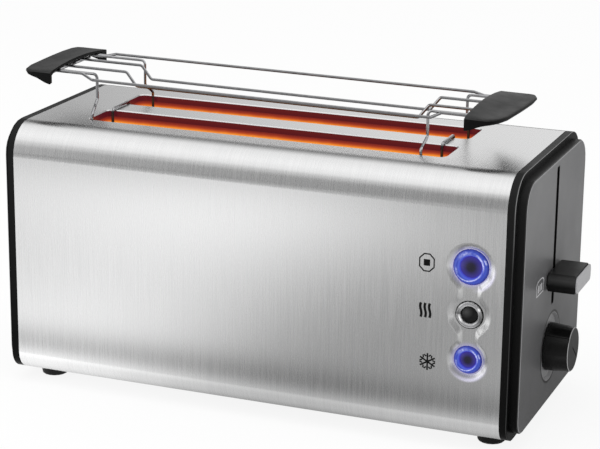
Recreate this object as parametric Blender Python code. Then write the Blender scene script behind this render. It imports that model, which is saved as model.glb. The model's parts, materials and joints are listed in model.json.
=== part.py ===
"""Toaster with two long slots, a lever, a browning dial, three buttons and a bun rack.

Metres, +Z up. +X points to the lever end, -Y to the front. The origin lies on the
counter, at the centre of the toaster's whole footprint. Each piece is its own object.
"""
import bmesh
import bpy
from math import atan2, cos, pi, radians, sin, sqrt
from mathutils import Vector

# Fits that all pieces share
GAP = 0.0003
OVERRUN = 0.002

# Steel housing
HOUSING_LENGTH = 0.375
HOUSING_DEPTH = 0.172
HOUSING_HEIGHT = 0.191
HOUSING_SHEET = 0.001
TOP_RADIUS = 0.024
BOTTOM_RADIUS = 0.016
SHEET_RETURN = 0.004
FOOT_HEIGHT = 0.009

# Bread slots in its top
SLOT_LEFT_INSET = 0.0405
SLOT_RIGHT_INSET = 0.0575
SLOT_WIDTH = 0.035
SLOT_SPACING = 0.057
SLOT_CORNER = 0.005
SLOT_LIP = 0.005
SLOT_CHAMFER = 0.0008

# Buttons, from the stop button down; offsets are from the housing's mid height
BUTTON_INSET = 0.0242
BUTTON_OFFSETS = (0.0311, -0.0031, -0.0357)
RING_RADII = (0.0126, 0.0099, 0.0099)
CAP_RADII = (0.0076, 0.0057, 0.0057)
LOBE_MARGINS = (0.0054, 0.0066, 0.0058)
BUTTON_NAMES = ("stop", "reheat", "defrost")
LOBE_FILLET = 0.0042
RECESS_DEPTH = 0.0018
RECESS_SLOPE = 0.0034
RECESS_RUN_SHARES = (0, 0.28, 0.72, 1)
RECESS_DROP_SHARES = (0, 0.14, 0.86, 1)
RING_PROUD = 0.0016
RING_RUN_SHARES = (0, 0.12, 0.32, 0.5, 0.68, 0.88, 1)
RING_RISE_SHARES = (0, 0.62, 0.93, 1, 0.93, 0.62, 0)
RING_FLANGE = 0.0022
RING_FLANGE_THICKNESS = 0.0012
RING_DEPTH = 0.0052
BUTTON_TRAVEL = 0.0014
BUTTON_STEM_RADIUS = 0.0025
BUTTON_CROWN = 0.0009
BUTTON_CROWN_SHARE = 0.7

# Switch carrier and control board behind the buttons
CARRIER_WIDTH = 0.038
CARRIER_SHEET = 0.002
CARRIER_MARGIN = 0.004
CARRIER_CORNER = 0.004
STEM_CLEARANCE = 0.0005
BOARD_THICKNESS = 0.0016
BOARD_STANDOFF = 0.007
BOARD_POST_RADIUS = 0.0022
SWITCH_SIDE = 0.006
SWITCH_HEIGHT = 0.0035

# End caps
FLANGE_THICKNESS = 0.0055
CAP_INSET = 0.0052
RIGHT_CAP_RISE = 0.0123
LEFT_CAP_RISE = 0.0098
CAP_WALL = 0.0025
CAP_SKIRT = 0.0040
BLOCK_CORNER = 0.0180
BLOCK_EDGE = 0.0010
LEVER_SLOT_WIDTH = 0.0065
LEVER_SLOT_BOTTOM = 0.0885
LEVER_SLOT_DROP = 0.0100
LEVER_SLOT_END_SHARE = 0.9

# Browning dial
DIAL_HEIGHT = 0.0560
DISH_RADIUS = 0.0250
DISH_DEPTH = 0.0020
DISH_TAPER = 0.0016
DISH_BOSS = 0.0025
DIAL_RADIUS = 0.0177
DIAL_FACE_RADIUS = 0.0163
DIAL_DEPTH = 0.0192
DIAL_LIFT = 0.0008
DIAL_EDGE = 0.0008
DIAL_POINTER_WIDTH = 0.0012
DIAL_POINTER_START = -0.0038
DIAL_POINTER_END = 0.0148
DIAL_POINTER_DEPTH = 0.0006
DIAL_CHANNEL_WIDTH = 0.0034
DIAL_CHANNEL_DEPTH = 0.0010
DIAL_POINTER_ANGLE = radians(-40)
DIAL_SHAFT_RADIUS = 0.0030
DIAL_SHAFT_GRIP = 0.0120
DIAL_SHAFT_CLEARANCE = 0.0006
POT_RADIUS = 0.0080
POT_LENGTH = 0.0090

# Carriage, lever and latch; the lever is down at rest
LEVER_HEIGHT = 0.1098
LEVER_STOP_GAP = 0.0027
LEVER_WIDTH = 0.0420
LEVER_THICKNESS = 0.0136
LEVER_CORNER = 0.0042
LEVER_PANEL_GAP = 0.0006
LEVER_END_PLATE = 0.0012
LEVER_END_INSET = 0.0007
LEVER_PROUD = 0.0222
ARM_THICKNESS = 0.0030
ARM_HEIGHT = 0.0090
ARM_SOCKET = 0.0120
SHELF_TOP = 0.0620
SHELF_WIDTH = 0.0120
SHELF_THICKNESS = 0.0014
SHELF_WEB = 0.0060
SHELF_END_GAP = 0.0060
SHELF_HOLES = 8
SHELF_HOLE_RIB = 0.0080
SHELF_HOLE_WIDTH = 0.0060
BRACKET_STANDOFF = 0.0065
BRACKET_SHEET = 0.0015
BRACKET_HALF_WIDTH = 0.0320
BRACKET_DROP = 0.0120
BRACKET_COLUMN = 0.0130
BRACKET_TAB = 0.0230
TAB_THICKNESS = 0.0020
HEAD_TAB_HALF_WIDTH = 0.0208
FOOT_TAB_HALF_WIDTH = 0.0310
ROD_RADIUS = 0.0025
ROD_SPACING = 0.0320
ROD_SETBACK = 0.0070
ROD_CLEARANCE = 0.0004
ARMATURE_SIZE = 0.0140
ARMATURE_THICKNESS = 0.0025
MAGNET_RADIUS = 0.0065
MAGNET_POLE_RADIUS = 0.0045
SPRING_RADIUS = 0.0040
SPRING_WIRE = 0.0005
SPRING_TURNS = 16
SPRING_SETBACK = 0.0160
SPRING_OFFSET = 0.0260
SPRING_HANGER = 0.0010
SPRING_HANGER_DROP = 0.0100

# Chassis, liners, heaters and bread guides
CHASSIS_SHEET = 0.0010
CHASSIS_HALF_DEPTH = 0.0600
SHIELD_OFFSET = 0.0570
SHIELD_LOW = 0.0280
LINER_SHEET = 0.0008
LINER_HEIGHT = 0.0260
HEATER_LOW = 0.0480
HEATER_SHEET = 0.0010
HEATER_SIDE_OFFSET = 0.0220
HEATER_MIDDLE_OFFSET = 0.0195
RIBBON_COUNT = 12
RIBBON_WIDTH = 0.0030
RIBBON_RISE = 0.0006
RIBBON_MARGIN = 0.0080
GUIDE_WIRE = 0.0010
GUIDE_ROD_RADIUS = 0.0009
GUIDE_CLOSED = 0.0120
GUIDE_COUNT = 9
GUIDE_LOW = 0.0660
GUIDE_BAR = 0.0030

# Base plate, tray and feet
BASE_SHEET = 0.0020
BASE_LAP = 0.0030
BASE_CORNER = 0.0040
VENT_COUNT = 5
VENT_WIDTH = 0.0060
VENT_LENGTH = 0.0240
VENT_PITCH = 0.0140
FOOT_TOP_RADIUS = 0.0108
FOOT_BASE_RADIUS = 0.0100
FOOT_EDGE = 0.0016
FOOT_INSET_X = 0.0135
FOOT_INSET_Y = 0.0315
TRAY_HALF_WIDTH = 0.0480
TRAY_HEIGHT = 0.0075
TRAY_SHEET = 0.0010
TRAY_CORNER = 0.0050
TRAY_FRONT_HEIGHT = 0.0110
TRAY_FRONT_DEPTH = 0.0110
TRAY_GRIP_RADIUS = 0.0140
TRAY_GRIP_DEPTH = 0.0060
TRAY_CLEARANCE = 0.0005
GLAND_RADIUS = 0.0070
GLAND_LIP = 0.0020
GLAND_LENGTH = 0.0060
GLAND_BORE = 0.0036
GLAND_INSET_X = 0.0375
GLAND_INSET_Y = 0.0410

# Bun rack; it stands a little higher at its left end
RACK_LEFT_INSET = 0.0105
RACK_RIGHT_INSET = 0.0445
RACK_CLEARANCE = 0.0295
RACK_SLOPE = 0.0100
RACK_WIRE = 0.0011
LEG_LINE = 0.0300
INNER_LINE = 0.0130
FRONT_RAIL_DROP = 0.0042
FRONT_RAIL_INSETS = (0.0275, 0.0285)
BACK_RAIL_DROP = -0.0020
BACK_RAIL_INSETS = (0.0155, 0.0165)
INNER_DROP = 0.0100
INNER_INSETS = (0.0545, 0.0435)
STEP_RUN = 0.0080
WIRE_BEND = 0.0030
LEG_LEFT_INSET = 0.0070
LEG_RIGHT_INSET = 0.0140
LEG_SKEW = 0.0040
LEG_FLARE = 0.0025
LEG_KNEE = 0.0190
LEG_FOOT_LINE = 0.0436
LEG_FOOT_RISE = 0.0035
LEG_DEPTH = 0.0120
LEG_INSIDE_LINE = 0.0140
LEG_INSIDE_SHIFT = 0.0020

# Rack handles; heights are above the middle of the rack's wires
HANDLE_WIDTH = 0.0930
HANDLE_DEPTH = 0.0295
HANDLE_EDGE = 0.0017
HANDLE_ARCH = 0.0036
HANDLE_DISH = 0.0012
HANDLE_LOW = -0.0077
HANDLE_LIP_THICKNESS = 0.0034
HANDLE_BEVEL = 0.0010
HANDLE_WALL = 0.0020
HANDLE_END_WALL = 0.0030
HANDLE_HOLLOW = 0.0140
HANDLE_WIRE_REACH = 0.0100
HANDLE_RING_SHARES = (-1, -0.96, -0.86, -0.6, -0.3, 0, 0.3, 0.6, 0.86, 0.96, 1)
HANDLE_DEPTH_SHARES = (0.55, 0.69, 0.81, 0.91, 0.94, 0.97, 0.99, 1, 0.97, 0.90, 0.77)
HANDLE_DROP_SHARES = (0.28, 0.08, 0, 0, 0, 0, 0, 0, 0, 0, 0.06)
HOLLOW_RING_SHARES = (-1, -0.85, -0.4, 0, 0.4, 0.85, 1)
HANDLE_CREST_SHARE = 0.3
HANDLE_DISH_SHARE = 0.65
HANDLE_BELLY_SHARE = 0.7

# Derived places
HALF_LENGTH = HOUSING_LENGTH / 2
HALF_DEPTH = HOUSING_DEPTH / 2
BOTTOM = FOOT_HEIGHT
TOP = FOOT_HEIGHT + HOUSING_HEIGHT
FRONT = -HALF_DEPTH
BASE_LOW = BOTTOM + HOUSING_SHEET + GAP
BASE_TOP = BASE_LOW + BASE_SHEET
INNER_TOP = TOP - HOUSING_SHEET - GAP
BUTTON_X = HALF_LENGTH - BUTTON_INSET
BUTTON_HEIGHTS = tuple((BOTTOM + TOP) / 2 + offset for offset in BUTTON_OFFSETS)
SLOT_LEFT = SLOT_LEFT_INSET - HALF_LENGTH
SLOT_RIGHT = HALF_LENGTH - SLOT_RIGHT_INSET
CHAMBERS = (-SLOT_SPACING / 2, SLOT_SPACING / 2)
LINER_GROW = HOUSING_SHEET + GAP
LINER_LEFT = SLOT_LEFT - LINER_GROW - LINER_SHEET
LINER_RIGHT = SLOT_RIGHT + LINER_GROW + LINER_SHEET
LINER_LOW = INNER_TOP - LINER_HEIGHT
PANEL_X = HALF_LENGTH + RIGHT_CAP_RISE
LEFT_PANEL_X = HALF_LENGTH + LEFT_CAP_RISE
DISH_FLOOR_X = PANEL_X - DISH_DEPTH
LEVER_REACH = PANEL_X + LEVER_PROUD
LEVER_SLOT_TOP = TOP - LEVER_SLOT_DROP
LIFT_TRAVEL = LEVER_SLOT_TOP - LEVER_STOP_GAP - ARM_HEIGHT / 2 - LEVER_HEIGHT
RECESS_FLOOR = FRONT + RECESS_DEPTH
RECESS_BACK = RECESS_FLOOR + HOUSING_SHEET
CARRIER_FRONT = RECESS_BACK + GAP + RING_FLANGE_THICKNESS + GAP
CARRIER_BACK = CARRIER_FRONT + CARRIER_SHEET
BOARD_FRONT = CARRIER_BACK + BOARD_STANDOFF
BOARD_BACK = BOARD_FRONT + BOARD_THICKNESS
CHASSIS_RIGHT = LINER_RIGHT + GAP + CHASSIS_SHEET
CHASSIS_LEFT = LINER_LEFT - GAP - CHASSIS_SHEET
BRACKET_X = CHASSIS_RIGHT + BRACKET_STANDOFF
BRACKET_BACK_X = BRACKET_X + BRACKET_SHEET
ROD_X = BRACKET_BACK_X + ROD_SETBACK
SPRING_X = BRACKET_BACK_X + SPRING_SETBACK
FOOT_X = HALF_LENGTH - FOOT_INSET_X
FOOT_Y = HALF_DEPTH - FOOT_INSET_Y
GLAND_X = HALF_LENGTH - GLAND_INSET_X
GLAND_Y = HALF_DEPTH - GLAND_INSET_Y
RACK_LEFT = RACK_LEFT_INSET - HALF_LENGTH
RACK_RIGHT = HALF_LENGTH - RACK_RIGHT_INSET
RACK_CENTRE_X = (RACK_LEFT + RACK_RIGHT) / 2
RACK_HEIGHT = TOP + RACK_CLEARANCE
LEG_CENTRES_X = (SLOT_LEFT + LEG_LEFT_INSET, SLOT_RIGHT - LEG_RIGHT_INSET)
FOOTPRINT_CENTRE_X = (RACK_LEFT - HANDLE_DEPTH + LEVER_REACH) / 2

CIRCLE_STEPS = 24
CORNER_STEPS = 4
WIRE_STEPS = 3
SPRING_STEPS = 8


def clear_scene():
    for old in list(bpy.data.objects):
        bpy.data.objects.remove(old)


def material(name, colour, roughness, metallic=0.0):
    made = bpy.data.materials.new(name)
    made.use_nodes = True
    shader = made.node_tree.nodes["Principled BSDF"]
    shader.inputs["Base Color"].default_value = (*colour, 1)
    shader.inputs["Roughness"].default_value = roughness
    shader.inputs["Metallic"].default_value = metallic
    return made


clear_scene()
STEEL = material("brushed_steel", (0.62, 0.61, 0.60), 0.32, 1)
CHROME = material("chrome_wire", (0.72, 0.72, 0.73), 0.16, 1)
ZINC = material("zinc_sheet", (0.48, 0.49, 0.50), 0.42, 1)
PLASTIC = material("black_plastic", (0.022, 0.022, 0.024), 0.38)
PANEL = material("graphite_plastic", (0.085, 0.086, 0.090), 0.34)
RUBBER = material("rubber", (0.015, 0.015, 0.015), 0.75)
RING_BLUE = material("lit_ring", (0.10, 0.16, 0.85), 0.20)
RING_CLEAR = material("clear_ring", (0.62, 0.64, 0.66), 0.18)
PALE = material("pale_plate", (0.36, 0.36, 0.37), 0.36)
MICA = material("mica", (0.52, 0.42, 0.30), 0.60)
BOARD = material("circuit_board", (0.04, 0.16, 0.08), 0.50)

TOASTER = bpy.data.objects.new("toaster", None)
TOASTER.location = (-FOOTPRINT_CENTRE_X, 0, 0)
bpy.context.scene.collection.objects.link(TOASTER)


def place(name, data, finish, at=(0, 0, 0), turn=(0, 0, 0)):
    """Make an object of a mesh or curve and hang it on the toaster's own empty."""
    obj = bpy.data.objects.new(name, data)
    data.materials.append(finish)
    bpy.context.scene.collection.objects.link(obj)
    obj.parent = TOASTER
    obj.location = at
    obj.rotation_euler = turn
    return obj


def finish_mesh(name, mesh, finish, at=(0, 0, 0), turn=(0, 0, 0)):
    bmesh.ops.recalc_face_normals(mesh, faces=mesh.faces)
    data = bpy.data.meshes.new(name)
    mesh.to_mesh(data)
    mesh.free()
    return place(name, data, finish, at, turn)


def as_cutter(obj):
    obj.hide_render = True
    obj.display_type = "WIRE"
    return obj


def combine(obj, other, operation):
    step = obj.modifiers.new(other.name, "BOOLEAN")
    step.object = as_cutter(other)
    step.operation = operation
    step.solver = "EXACT"
    return obj


def cut(obj, *tools):
    for tool in tools:
        combine(obj, tool, "DIFFERENCE")
    return obj


def join(obj, *others):
    for other in others:
        combine(obj, other, "UNION")
    return obj


def arc(centre, radius, start, end, steps):
    """Points on an arc, both ends included, with angles in radians."""
    return [
        (centre[0] + radius * cos(start + (end - start) * i / steps),
         centre[1] + radius * sin(start + (end - start) * i / steps))
        for i in range(steps + 1)
    ]


def circle(radius, centre=(0, 0), steps=CIRCLE_STEPS):
    return arc(centre, radius, 0, 2 * pi, steps)[:-1]


def rounded_box(low, high, radii, steps=CORNER_STEPS):
    """Rectangle from corner low to corner high; radii are its low and its high corners'."""
    base, crown = radii
    (x0, y0), (x1, y1) = low, high
    return (
        arc((x0 + base, y0 + base), base, -pi, -pi / 2, steps)
        + arc((x1 - base, y0 + base), base, -pi / 2, 0, steps)
        + arc((x1 - crown, y1 - crown), crown, 0, pi / 2, steps)
        + arc((x0 + crown, y1 - crown), crown, pi / 2, pi, steps)
    )


def box_outline(low, high):
    return [low, (high[0], low[1]), high, (low[0], high[1])]


def in_space(outline, axis, level):
    """Lift a flat outline to a height along X, Y or Z."""
    if axis == "X":
        return [(level, u, v) for u, v in outline]
    if axis == "Y":
        return [(u, level, v) for u, v in outline]
    return [(u, v, level) for u, v in outline]


def loft(name, rings, finish, at=(0, 0, 0), turn=(0, 0, 0)):
    """Skin closed rings of equal count, one after another, and cap both ends."""
    mesh = bmesh.new()
    rows = [[mesh.verts.new(point) for point in ring] for ring in rings]
    for row, following in zip(rows, rows[1:]):
        count = len(row)
        for i in range(count):
            mesh.faces.new((row[i], row[(i + 1) % count], following[(i + 1) % count], following[i]))
    mesh.faces.new(rows[0])
    mesh.faces.new(rows[-1])
    return finish_mesh(name, mesh, finish, at, turn)


def prism(name, outline, axis, low, high, finish, at=(0, 0, 0), turn=(0, 0, 0)):
    """Extrude a flat outline along an axis, from one level to another."""
    mesh = bmesh.new()
    face = mesh.faces.new([mesh.verts.new(point) for point in in_space(outline, axis, low)])
    grown = bmesh.ops.extrude_face_region(mesh, geom=[face])
    moved = [item for item in grown["geom"] if isinstance(item, bmesh.types.BMVert)]
    direction = {"X": Vector((1, 0, 0)), "Y": Vector((0, 1, 0)), "Z": Vector((0, 0, 1))}[axis]
    bmesh.ops.translate(mesh, verts=moved, vec=direction * (high - low))
    return finish_mesh(name, mesh, finish, at, turn)


def block(name, low, high, finish):
    """Plain block between two corners."""
    return prism(name, box_outline(low[:2], high[:2]), "Z", low[2], high[2], finish)


TURNS = {"+X": (0, pi / 2, 0), "+Y": (-pi / 2, 0, 0), "-Y": (pi / 2, 0, 0), "+Z": (0, 0, 0)}


def turned(name, profile, finish, at=(0, 0, 0), axis="+Z", steps=CIRCLE_STEPS):
    """Spin a profile of (radius, height) points about an axis through the point at."""
    mesh = bmesh.new()
    points = [mesh.verts.new((radius, 0, height)) for radius, height in profile]
    edges = [mesh.edges.new(pair) for pair in zip(points, points[1:])]
    if profile[0][0] > 0:
        edges.append(mesh.edges.new((points[-1], points[0])))
    bmesh.ops.spin(
        mesh, geom=points + edges, cent=(0, 0, 0), axis=(0, 0, 1), dvec=(0, 0, 0),
        angle=2 * pi, steps=steps, use_merge=True, use_duplicate=False,
    )
    bmesh.ops.remove_doubles(mesh, verts=mesh.verts, dist=GAP / 10)
    obj = finish_mesh(name, mesh, finish, at, TURNS[axis])
    obj.data.shade_smooth()
    return obj


def rounded_corner(before, corner, after, radius, steps):
    """Points of the bend that replaces a wire's corner."""
    to_before = (before - corner).normalized()
    to_after = (after - corner).normalized()
    half = to_before.angle(to_after) / 2
    reach = radius * cos(half) / sin(half)
    middle = (to_before + to_after).normalized()
    centre = corner + middle * (radius / sin(half))
    first = corner + to_before * reach - centre
    last = corner + to_after * reach - centre
    swing = first.angle(last)
    return [
        centre + (first * sin(swing * (1 - i / steps)) + last * sin(swing * i / steps)) / sin(swing)
        for i in range(steps + 1)
    ]


def bent_path(corners, radius, steps=WIRE_STEPS):
    corners = [Vector(corner) for corner in corners]
    path = [corners[0]]
    for before, corner, after in zip(corners, corners[1:], corners[2:]):
        path += rounded_corner(before, corner, after, radius, steps)
    return path + [corners[-1]]


def wire(name, path, radius, finish, resolution=1):
    """Round wire along a path, with flat closed ends."""
    data = bpy.data.curves.new(name, "CURVE")
    data.dimensions = "3D"
    data.bevel_depth = radius
    data.bevel_resolution = resolution
    data.use_fill_caps = True
    spline = data.splines.new("POLY")
    spline.points.add(len(path) - 1)
    for point, place_on_path in zip(spline.points, path):
        point.co = (*place_on_path, 1)
    return place(name, data, finish)


def wrap_profile():
    """The housing sheet from its front return, over the top, to its back return."""
    def side(inset):
        low = BOTTOM + inset
        low_radius = BOTTOM_RADIUS - inset
        top_radius = TOP_RADIUS - inset
        low_centre = (HALF_DEPTH - BOTTOM_RADIUS, BOTTOM + BOTTOM_RADIUS)
        top_centre = (HALF_DEPTH - TOP_RADIUS, TOP - TOP_RADIUS)
        back = [(HALF_DEPTH - BOTTOM_RADIUS - SHEET_RETURN, low)]
        back += arc(low_centre, low_radius, -pi / 2, 0, 5)
        back += arc(top_centre, top_radius, 0, pi / 2, 7)
        front = [(-y, z) for y, z in reversed(back)]
        return back + front
    return side(0) + side(HOUSING_SHEET)[::-1]


def cap_outline(inset, base_radius=BOTTOM_RADIUS, crown_radius=TOP_RADIUS):
    """The housing's end outline drawn in by an inset, as (y, z) points."""
    low = (-HALF_DEPTH + inset, BOTTOM + inset)
    high = (HALF_DEPTH - inset, TOP - inset)
    radii = (max(base_radius - inset, CAP_WALL), max(crown_radius - inset, CAP_WALL))
    return rounded_box(low, high, radii, 6)


def slot_outline(chamber, grow=0.0):
    low = (SLOT_LEFT - grow, chamber - SLOT_WIDTH / 2 - grow)
    high = (SLOT_RIGHT + grow, chamber + SLOT_WIDTH / 2 + grow)
    return rounded_box(low, high, (SLOT_CORNER + grow, SLOT_CORNER + grow))


def lobed_outline(grow=0.0):
    """Three round lobes, one over another, blended at their waists, as (x, z) points."""
    radii = [ring + margin + grow for ring, margin in zip(RING_RADII, LOBE_MARGINS)]
    blend = LOBE_FILLET - grow
    right = []
    start = pi / 2
    for i, (height, radius) in enumerate(zip(BUTTON_HEIGHTS, radii)):
        if i == len(radii) - 1:
            right += arc((0, height), radius, start, -pi / 2, 8)
            break
        below = radii[i + 1] + blend
        apart = height - BUTTON_HEIGHTS[i + 1]
        drop = ((radius + blend) ** 2 - below ** 2 + apart ** 2) / (2 * apart)
        aside = sqrt((radius + blend) ** 2 - drop ** 2)
        leave = -atan2(drop, aside)
        meet = atan2(apart - drop, aside)
        right += arc((0, height), radius, start, leave, 8 if i == 0 else 4)
        right += arc((aside, height - drop), blend, pi + leave, pi + meet, 3)[1:-1]
        start = meet
    left = [(-x, z) for x, z in reversed(right)][1:-1]
    return [(BUTTON_X + x, z) for x, z in right + left]


def recess_rings(level, run_up):
    """The stamped recess as outlines one behind another; it starts a run-up before a level."""
    rings = [in_space(lobed_outline(), "Y", level - run_up)]
    for run, drop in zip(RECESS_RUN_SHARES, RECESS_DROP_SHARES):
        rings.append(in_space(lobed_outline(-RECESS_SLOPE * run), "Y", level + RECESS_DEPTH * drop))
    return rings


def make_housing():
    housing = prism("steel_housing", wrap_profile(), "X", -HALF_LENGTH, HALF_LENGTH, STEEL)
    for i, chamber in enumerate(CHAMBERS):
        lip = prism(f"lip_{i}", slot_outline(chamber, HOUSING_SHEET), "Z",
                    TOP - SLOT_LIP, TOP - HOUSING_SHEET / 2, STEEL)
        well = loft(f"well_{i}", [
            in_space(slot_outline(chamber), "Z", TOP - SLOT_LIP - OVERRUN),
            in_space(slot_outline(chamber), "Z", TOP - SLOT_CHAMFER),
            in_space(slot_outline(chamber, SLOT_CHAMFER), "Z", TOP),
            in_space(slot_outline(chamber, SLOT_CHAMFER), "Z", TOP + OVERRUN),
        ], STEEL)
        join(housing, lip)
        cut(housing, well)
    join(housing, loft("recess_boss", recess_rings(FRONT + HOUSING_SHEET, HOUSING_SHEET / 2), STEEL))
    cut(housing, loft("recess", recess_rings(FRONT, OVERRUN), STEEL))
    for name, height, radius in zip(BUTTON_NAMES, BUTTON_HEIGHTS, RING_RADII):
        hole = prism(f"{name}_hole", circle(radius + GAP, (BUTTON_X, height)), "Y",
                     FRONT - OVERRUN, RECESS_BACK + OVERRUN, STEEL)
        cut(housing, hole)
    return housing


def along_end(side, outward):
    """X of a level measured outwards from the housing's end on one side."""
    return side * (HALF_LENGTH + outward)


def end_slab(name, side, outline, low, high, finish=PANEL):
    return loft(name, [in_space(outline, "X", along_end(side, low)),
                       in_space(outline, "X", along_end(side, high))], finish)


def make_end_cap(name, side, rise):
    """Flange flush with the steel, a raised panel on it and a skirt inside the steel."""
    cap = end_slab(name, side, cap_outline(0), GAP, GAP + FLANGE_THICKNESS)
    panel_outline = cap_outline(CAP_INSET, BLOCK_CORNER, TOP_RADIUS)
    edge_outline = cap_outline(CAP_INSET + BLOCK_EDGE, BLOCK_CORNER, TOP_RADIUS)
    panel = loft(f"{name}_panel", [
        in_space(panel_outline, "X", along_end(side, FLANGE_THICKNESS - OVERRUN)),
        in_space(panel_outline, "X", along_end(side, rise - BLOCK_EDGE)),
        in_space(edge_outline, "X", along_end(side, rise)),
    ], PANEL)
    skirt_inset = HOUSING_SHEET + GAP
    skirt = end_slab(f"{name}_skirt", side, cap_outline(skirt_inset), -CAP_SKIRT, FLANGE_THICKNESS / 2)
    join(cap, panel, skirt)
    wide = end_slab(f"{name}_wide_hollow", side, cap_outline(skirt_inset + CAP_WALL),
                    -CAP_SKIRT - OVERRUN, FLANGE_THICKNESS - CAP_WALL)
    deep = end_slab(f"{name}_deep_hollow", side, cap_outline(CAP_INSET + CAP_WALL),
                    -CAP_SKIRT - OVERRUN, rise - CAP_WALL)
    cut(cap, wide, deep)
    return cap


def make_right_cap():
    cap = make_end_cap("right_end_cap", 1, RIGHT_CAP_RISE)
    back_x = PANEL_X - CAP_WALL - DISH_BOSS
    boss = prism("dish_boss", circle(DISH_RADIUS + CAP_WALL, (0, DIAL_HEIGHT)), "X",
                 back_x, PANEL_X - CAP_WALL / 2, PANEL)
    join(cap, boss)
    dish = loft("dish", [
        in_space(circle(DISH_RADIUS - DISH_TAPER, (0, DIAL_HEIGHT)), "X", DISH_FLOOR_X),
        in_space(circle(DISH_RADIUS, (0, DIAL_HEIGHT)), "X", PANEL_X),
        in_space(circle(DISH_RADIUS, (0, DIAL_HEIGHT)), "X", PANEL_X + OVERRUN),
    ], PANEL)
    hole = prism("shaft_hole", circle(DIAL_SHAFT_RADIUS + DIAL_SHAFT_CLEARANCE, (0, DIAL_HEIGHT)), "X",
                 back_x - OVERRUN, PANEL_X, PANEL)
    half = LEVER_SLOT_WIDTH / 2
    slot = prism("lever_slot", rounded_box((-half, LEVER_SLOT_BOTTOM), (half, LEVER_SLOT_TOP),
                                           (half * LEVER_SLOT_END_SHARE, half * LEVER_SLOT_END_SHARE)), "X",
                 HALF_LENGTH - CAP_SKIRT, PANEL_X + OVERRUN, PANEL)
    return cut(cap, dish, hole, slot)


def make_left_cap():
    cap = make_end_cap("left_end_cap", -1, LEFT_CAP_RISE)
    half = TRAY_HALF_WIDTH + TRAY_CLEARANCE
    low = BASE_TOP
    high = BASE_TOP + GAP + TRAY_FRONT_HEIGHT + TRAY_CLEARANCE
    mouth = prism("tray_mouth", box_outline((-half, low), (half, high)), "X",
                  -LEFT_PANEL_X - OVERRUN, -HALF_LENGTH + CAP_SKIRT + OVERRUN, PANEL)
    return cut(cap, mouth)


def make_base():
    half_length = HALF_LENGTH - CAP_SKIRT - TRAY_CLEARANCE
    half_depth = HALF_DEPTH - BOTTOM_RADIUS - SHEET_RETURN + BASE_LAP
    outline = rounded_box((-half_length, -half_depth), (half_length, half_depth),
                          (BASE_CORNER, BASE_CORNER))
    base = prism("base_plate", outline, "Z", BASE_LOW, BASE_TOP, ZINC)
    middle_x = (GLAND_X + (SLOT_LEFT + SLOT_RIGHT) / 2) / 2
    for i in range(VENT_COUNT):
        for row, y in (("front", -VENT_PITCH), ("back", VENT_PITCH)):
            x = middle_x + (i - (VENT_COUNT - 1) / 2) * (VENT_LENGTH + VENT_WIDTH)
            vent = prism(f"vent_{row}_{i}", box_outline(
                (x - VENT_LENGTH / 2, y - VENT_WIDTH / 2), (x + VENT_LENGTH / 2, y + VENT_WIDTH / 2)),
                "Z", BASE_LOW - OVERRUN, BASE_TOP + OVERRUN, ZINC)
            cut(base, vent)
    hole = prism("gland_hole", circle(GLAND_RADIUS + GAP, (GLAND_X, GLAND_Y)), "Z",
                 BASE_LOW - OVERRUN, BASE_TOP + OVERRUN, ZINC)
    return cut(base, hole)


def make_feet():
    rise = BASE_LOW - GAP
    profile = [(0, 0), (FOOT_BASE_RADIUS - FOOT_EDGE, 0)]
    profile += arc((FOOT_BASE_RADIUS - FOOT_EDGE, FOOT_EDGE), FOOT_EDGE, -pi / 2, 0, 3)[1:]
    profile += [(FOOT_TOP_RADIUS, rise), (0, rise)]
    for end, x in (("left", -FOOT_X), ("right", FOOT_X)):
        for face, y in (("front", -FOOT_Y), ("back", FOOT_Y)):
            turned(f"foot_{face}_{end}", profile, RUBBER, (x, y, 0), steps=16)


def make_gland():
    """Rubber bush in the base plate that the mains cord would come through."""
    high = BASE_TOP + GLAND_LENGTH
    low = BASE_LOW - GAP - GLAND_LIP
    lip = GLAND_RADIUS + GLAND_LIP
    profile = [
        (GLAND_BORE, low), (lip, low), (lip, BASE_LOW - GAP), (GLAND_RADIUS, BASE_LOW - GAP),
        (GLAND_RADIUS, high), (GLAND_BORE, high),
    ]
    turned("cord_gland", profile, RUBBER, (GLAND_X, GLAND_Y, 0), steps=16)


def make_tray():
    """Crumb pan on the base plate and its front, flush with the left panel."""
    low = BASE_TOP + GAP
    left = -LEFT_PANEL_X + TRAY_FRONT_DEPTH + GAP
    right = SLOT_RIGHT
    half = TRAY_HALF_WIDTH
    pan = prism("crumb_tray_pan", rounded_box((left, -half), (right, half), (TRAY_CORNER, TRAY_CORNER)),
                "Z", low, low + TRAY_HEIGHT, ZINC)
    inside = rounded_box((left + TRAY_SHEET, -half + TRAY_SHEET), (right - TRAY_SHEET, half - TRAY_SHEET),
                         (TRAY_CORNER - TRAY_SHEET, TRAY_CORNER - TRAY_SHEET))
    cut(pan, prism("pan_inside", inside, "Z", low + TRAY_SHEET, low + TRAY_HEIGHT + OVERRUN, ZINC))
    front = block("crumb_tray_front", (-LEFT_PANEL_X, -half, low),
                  (left - GAP, half, low + TRAY_FRONT_HEIGHT), PANEL)
    grip_x = -LEFT_PANEL_X + TRAY_GRIP_DEPTH - TRAY_GRIP_RADIUS
    grip = prism("tray_grip", circle(TRAY_GRIP_RADIUS, (grip_x, 0)), "Z",
                 low - OVERRUN, low + TRAY_FRONT_HEIGHT - TRAY_SHEET * 2, PANEL)
    cut(front, grip)


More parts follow.
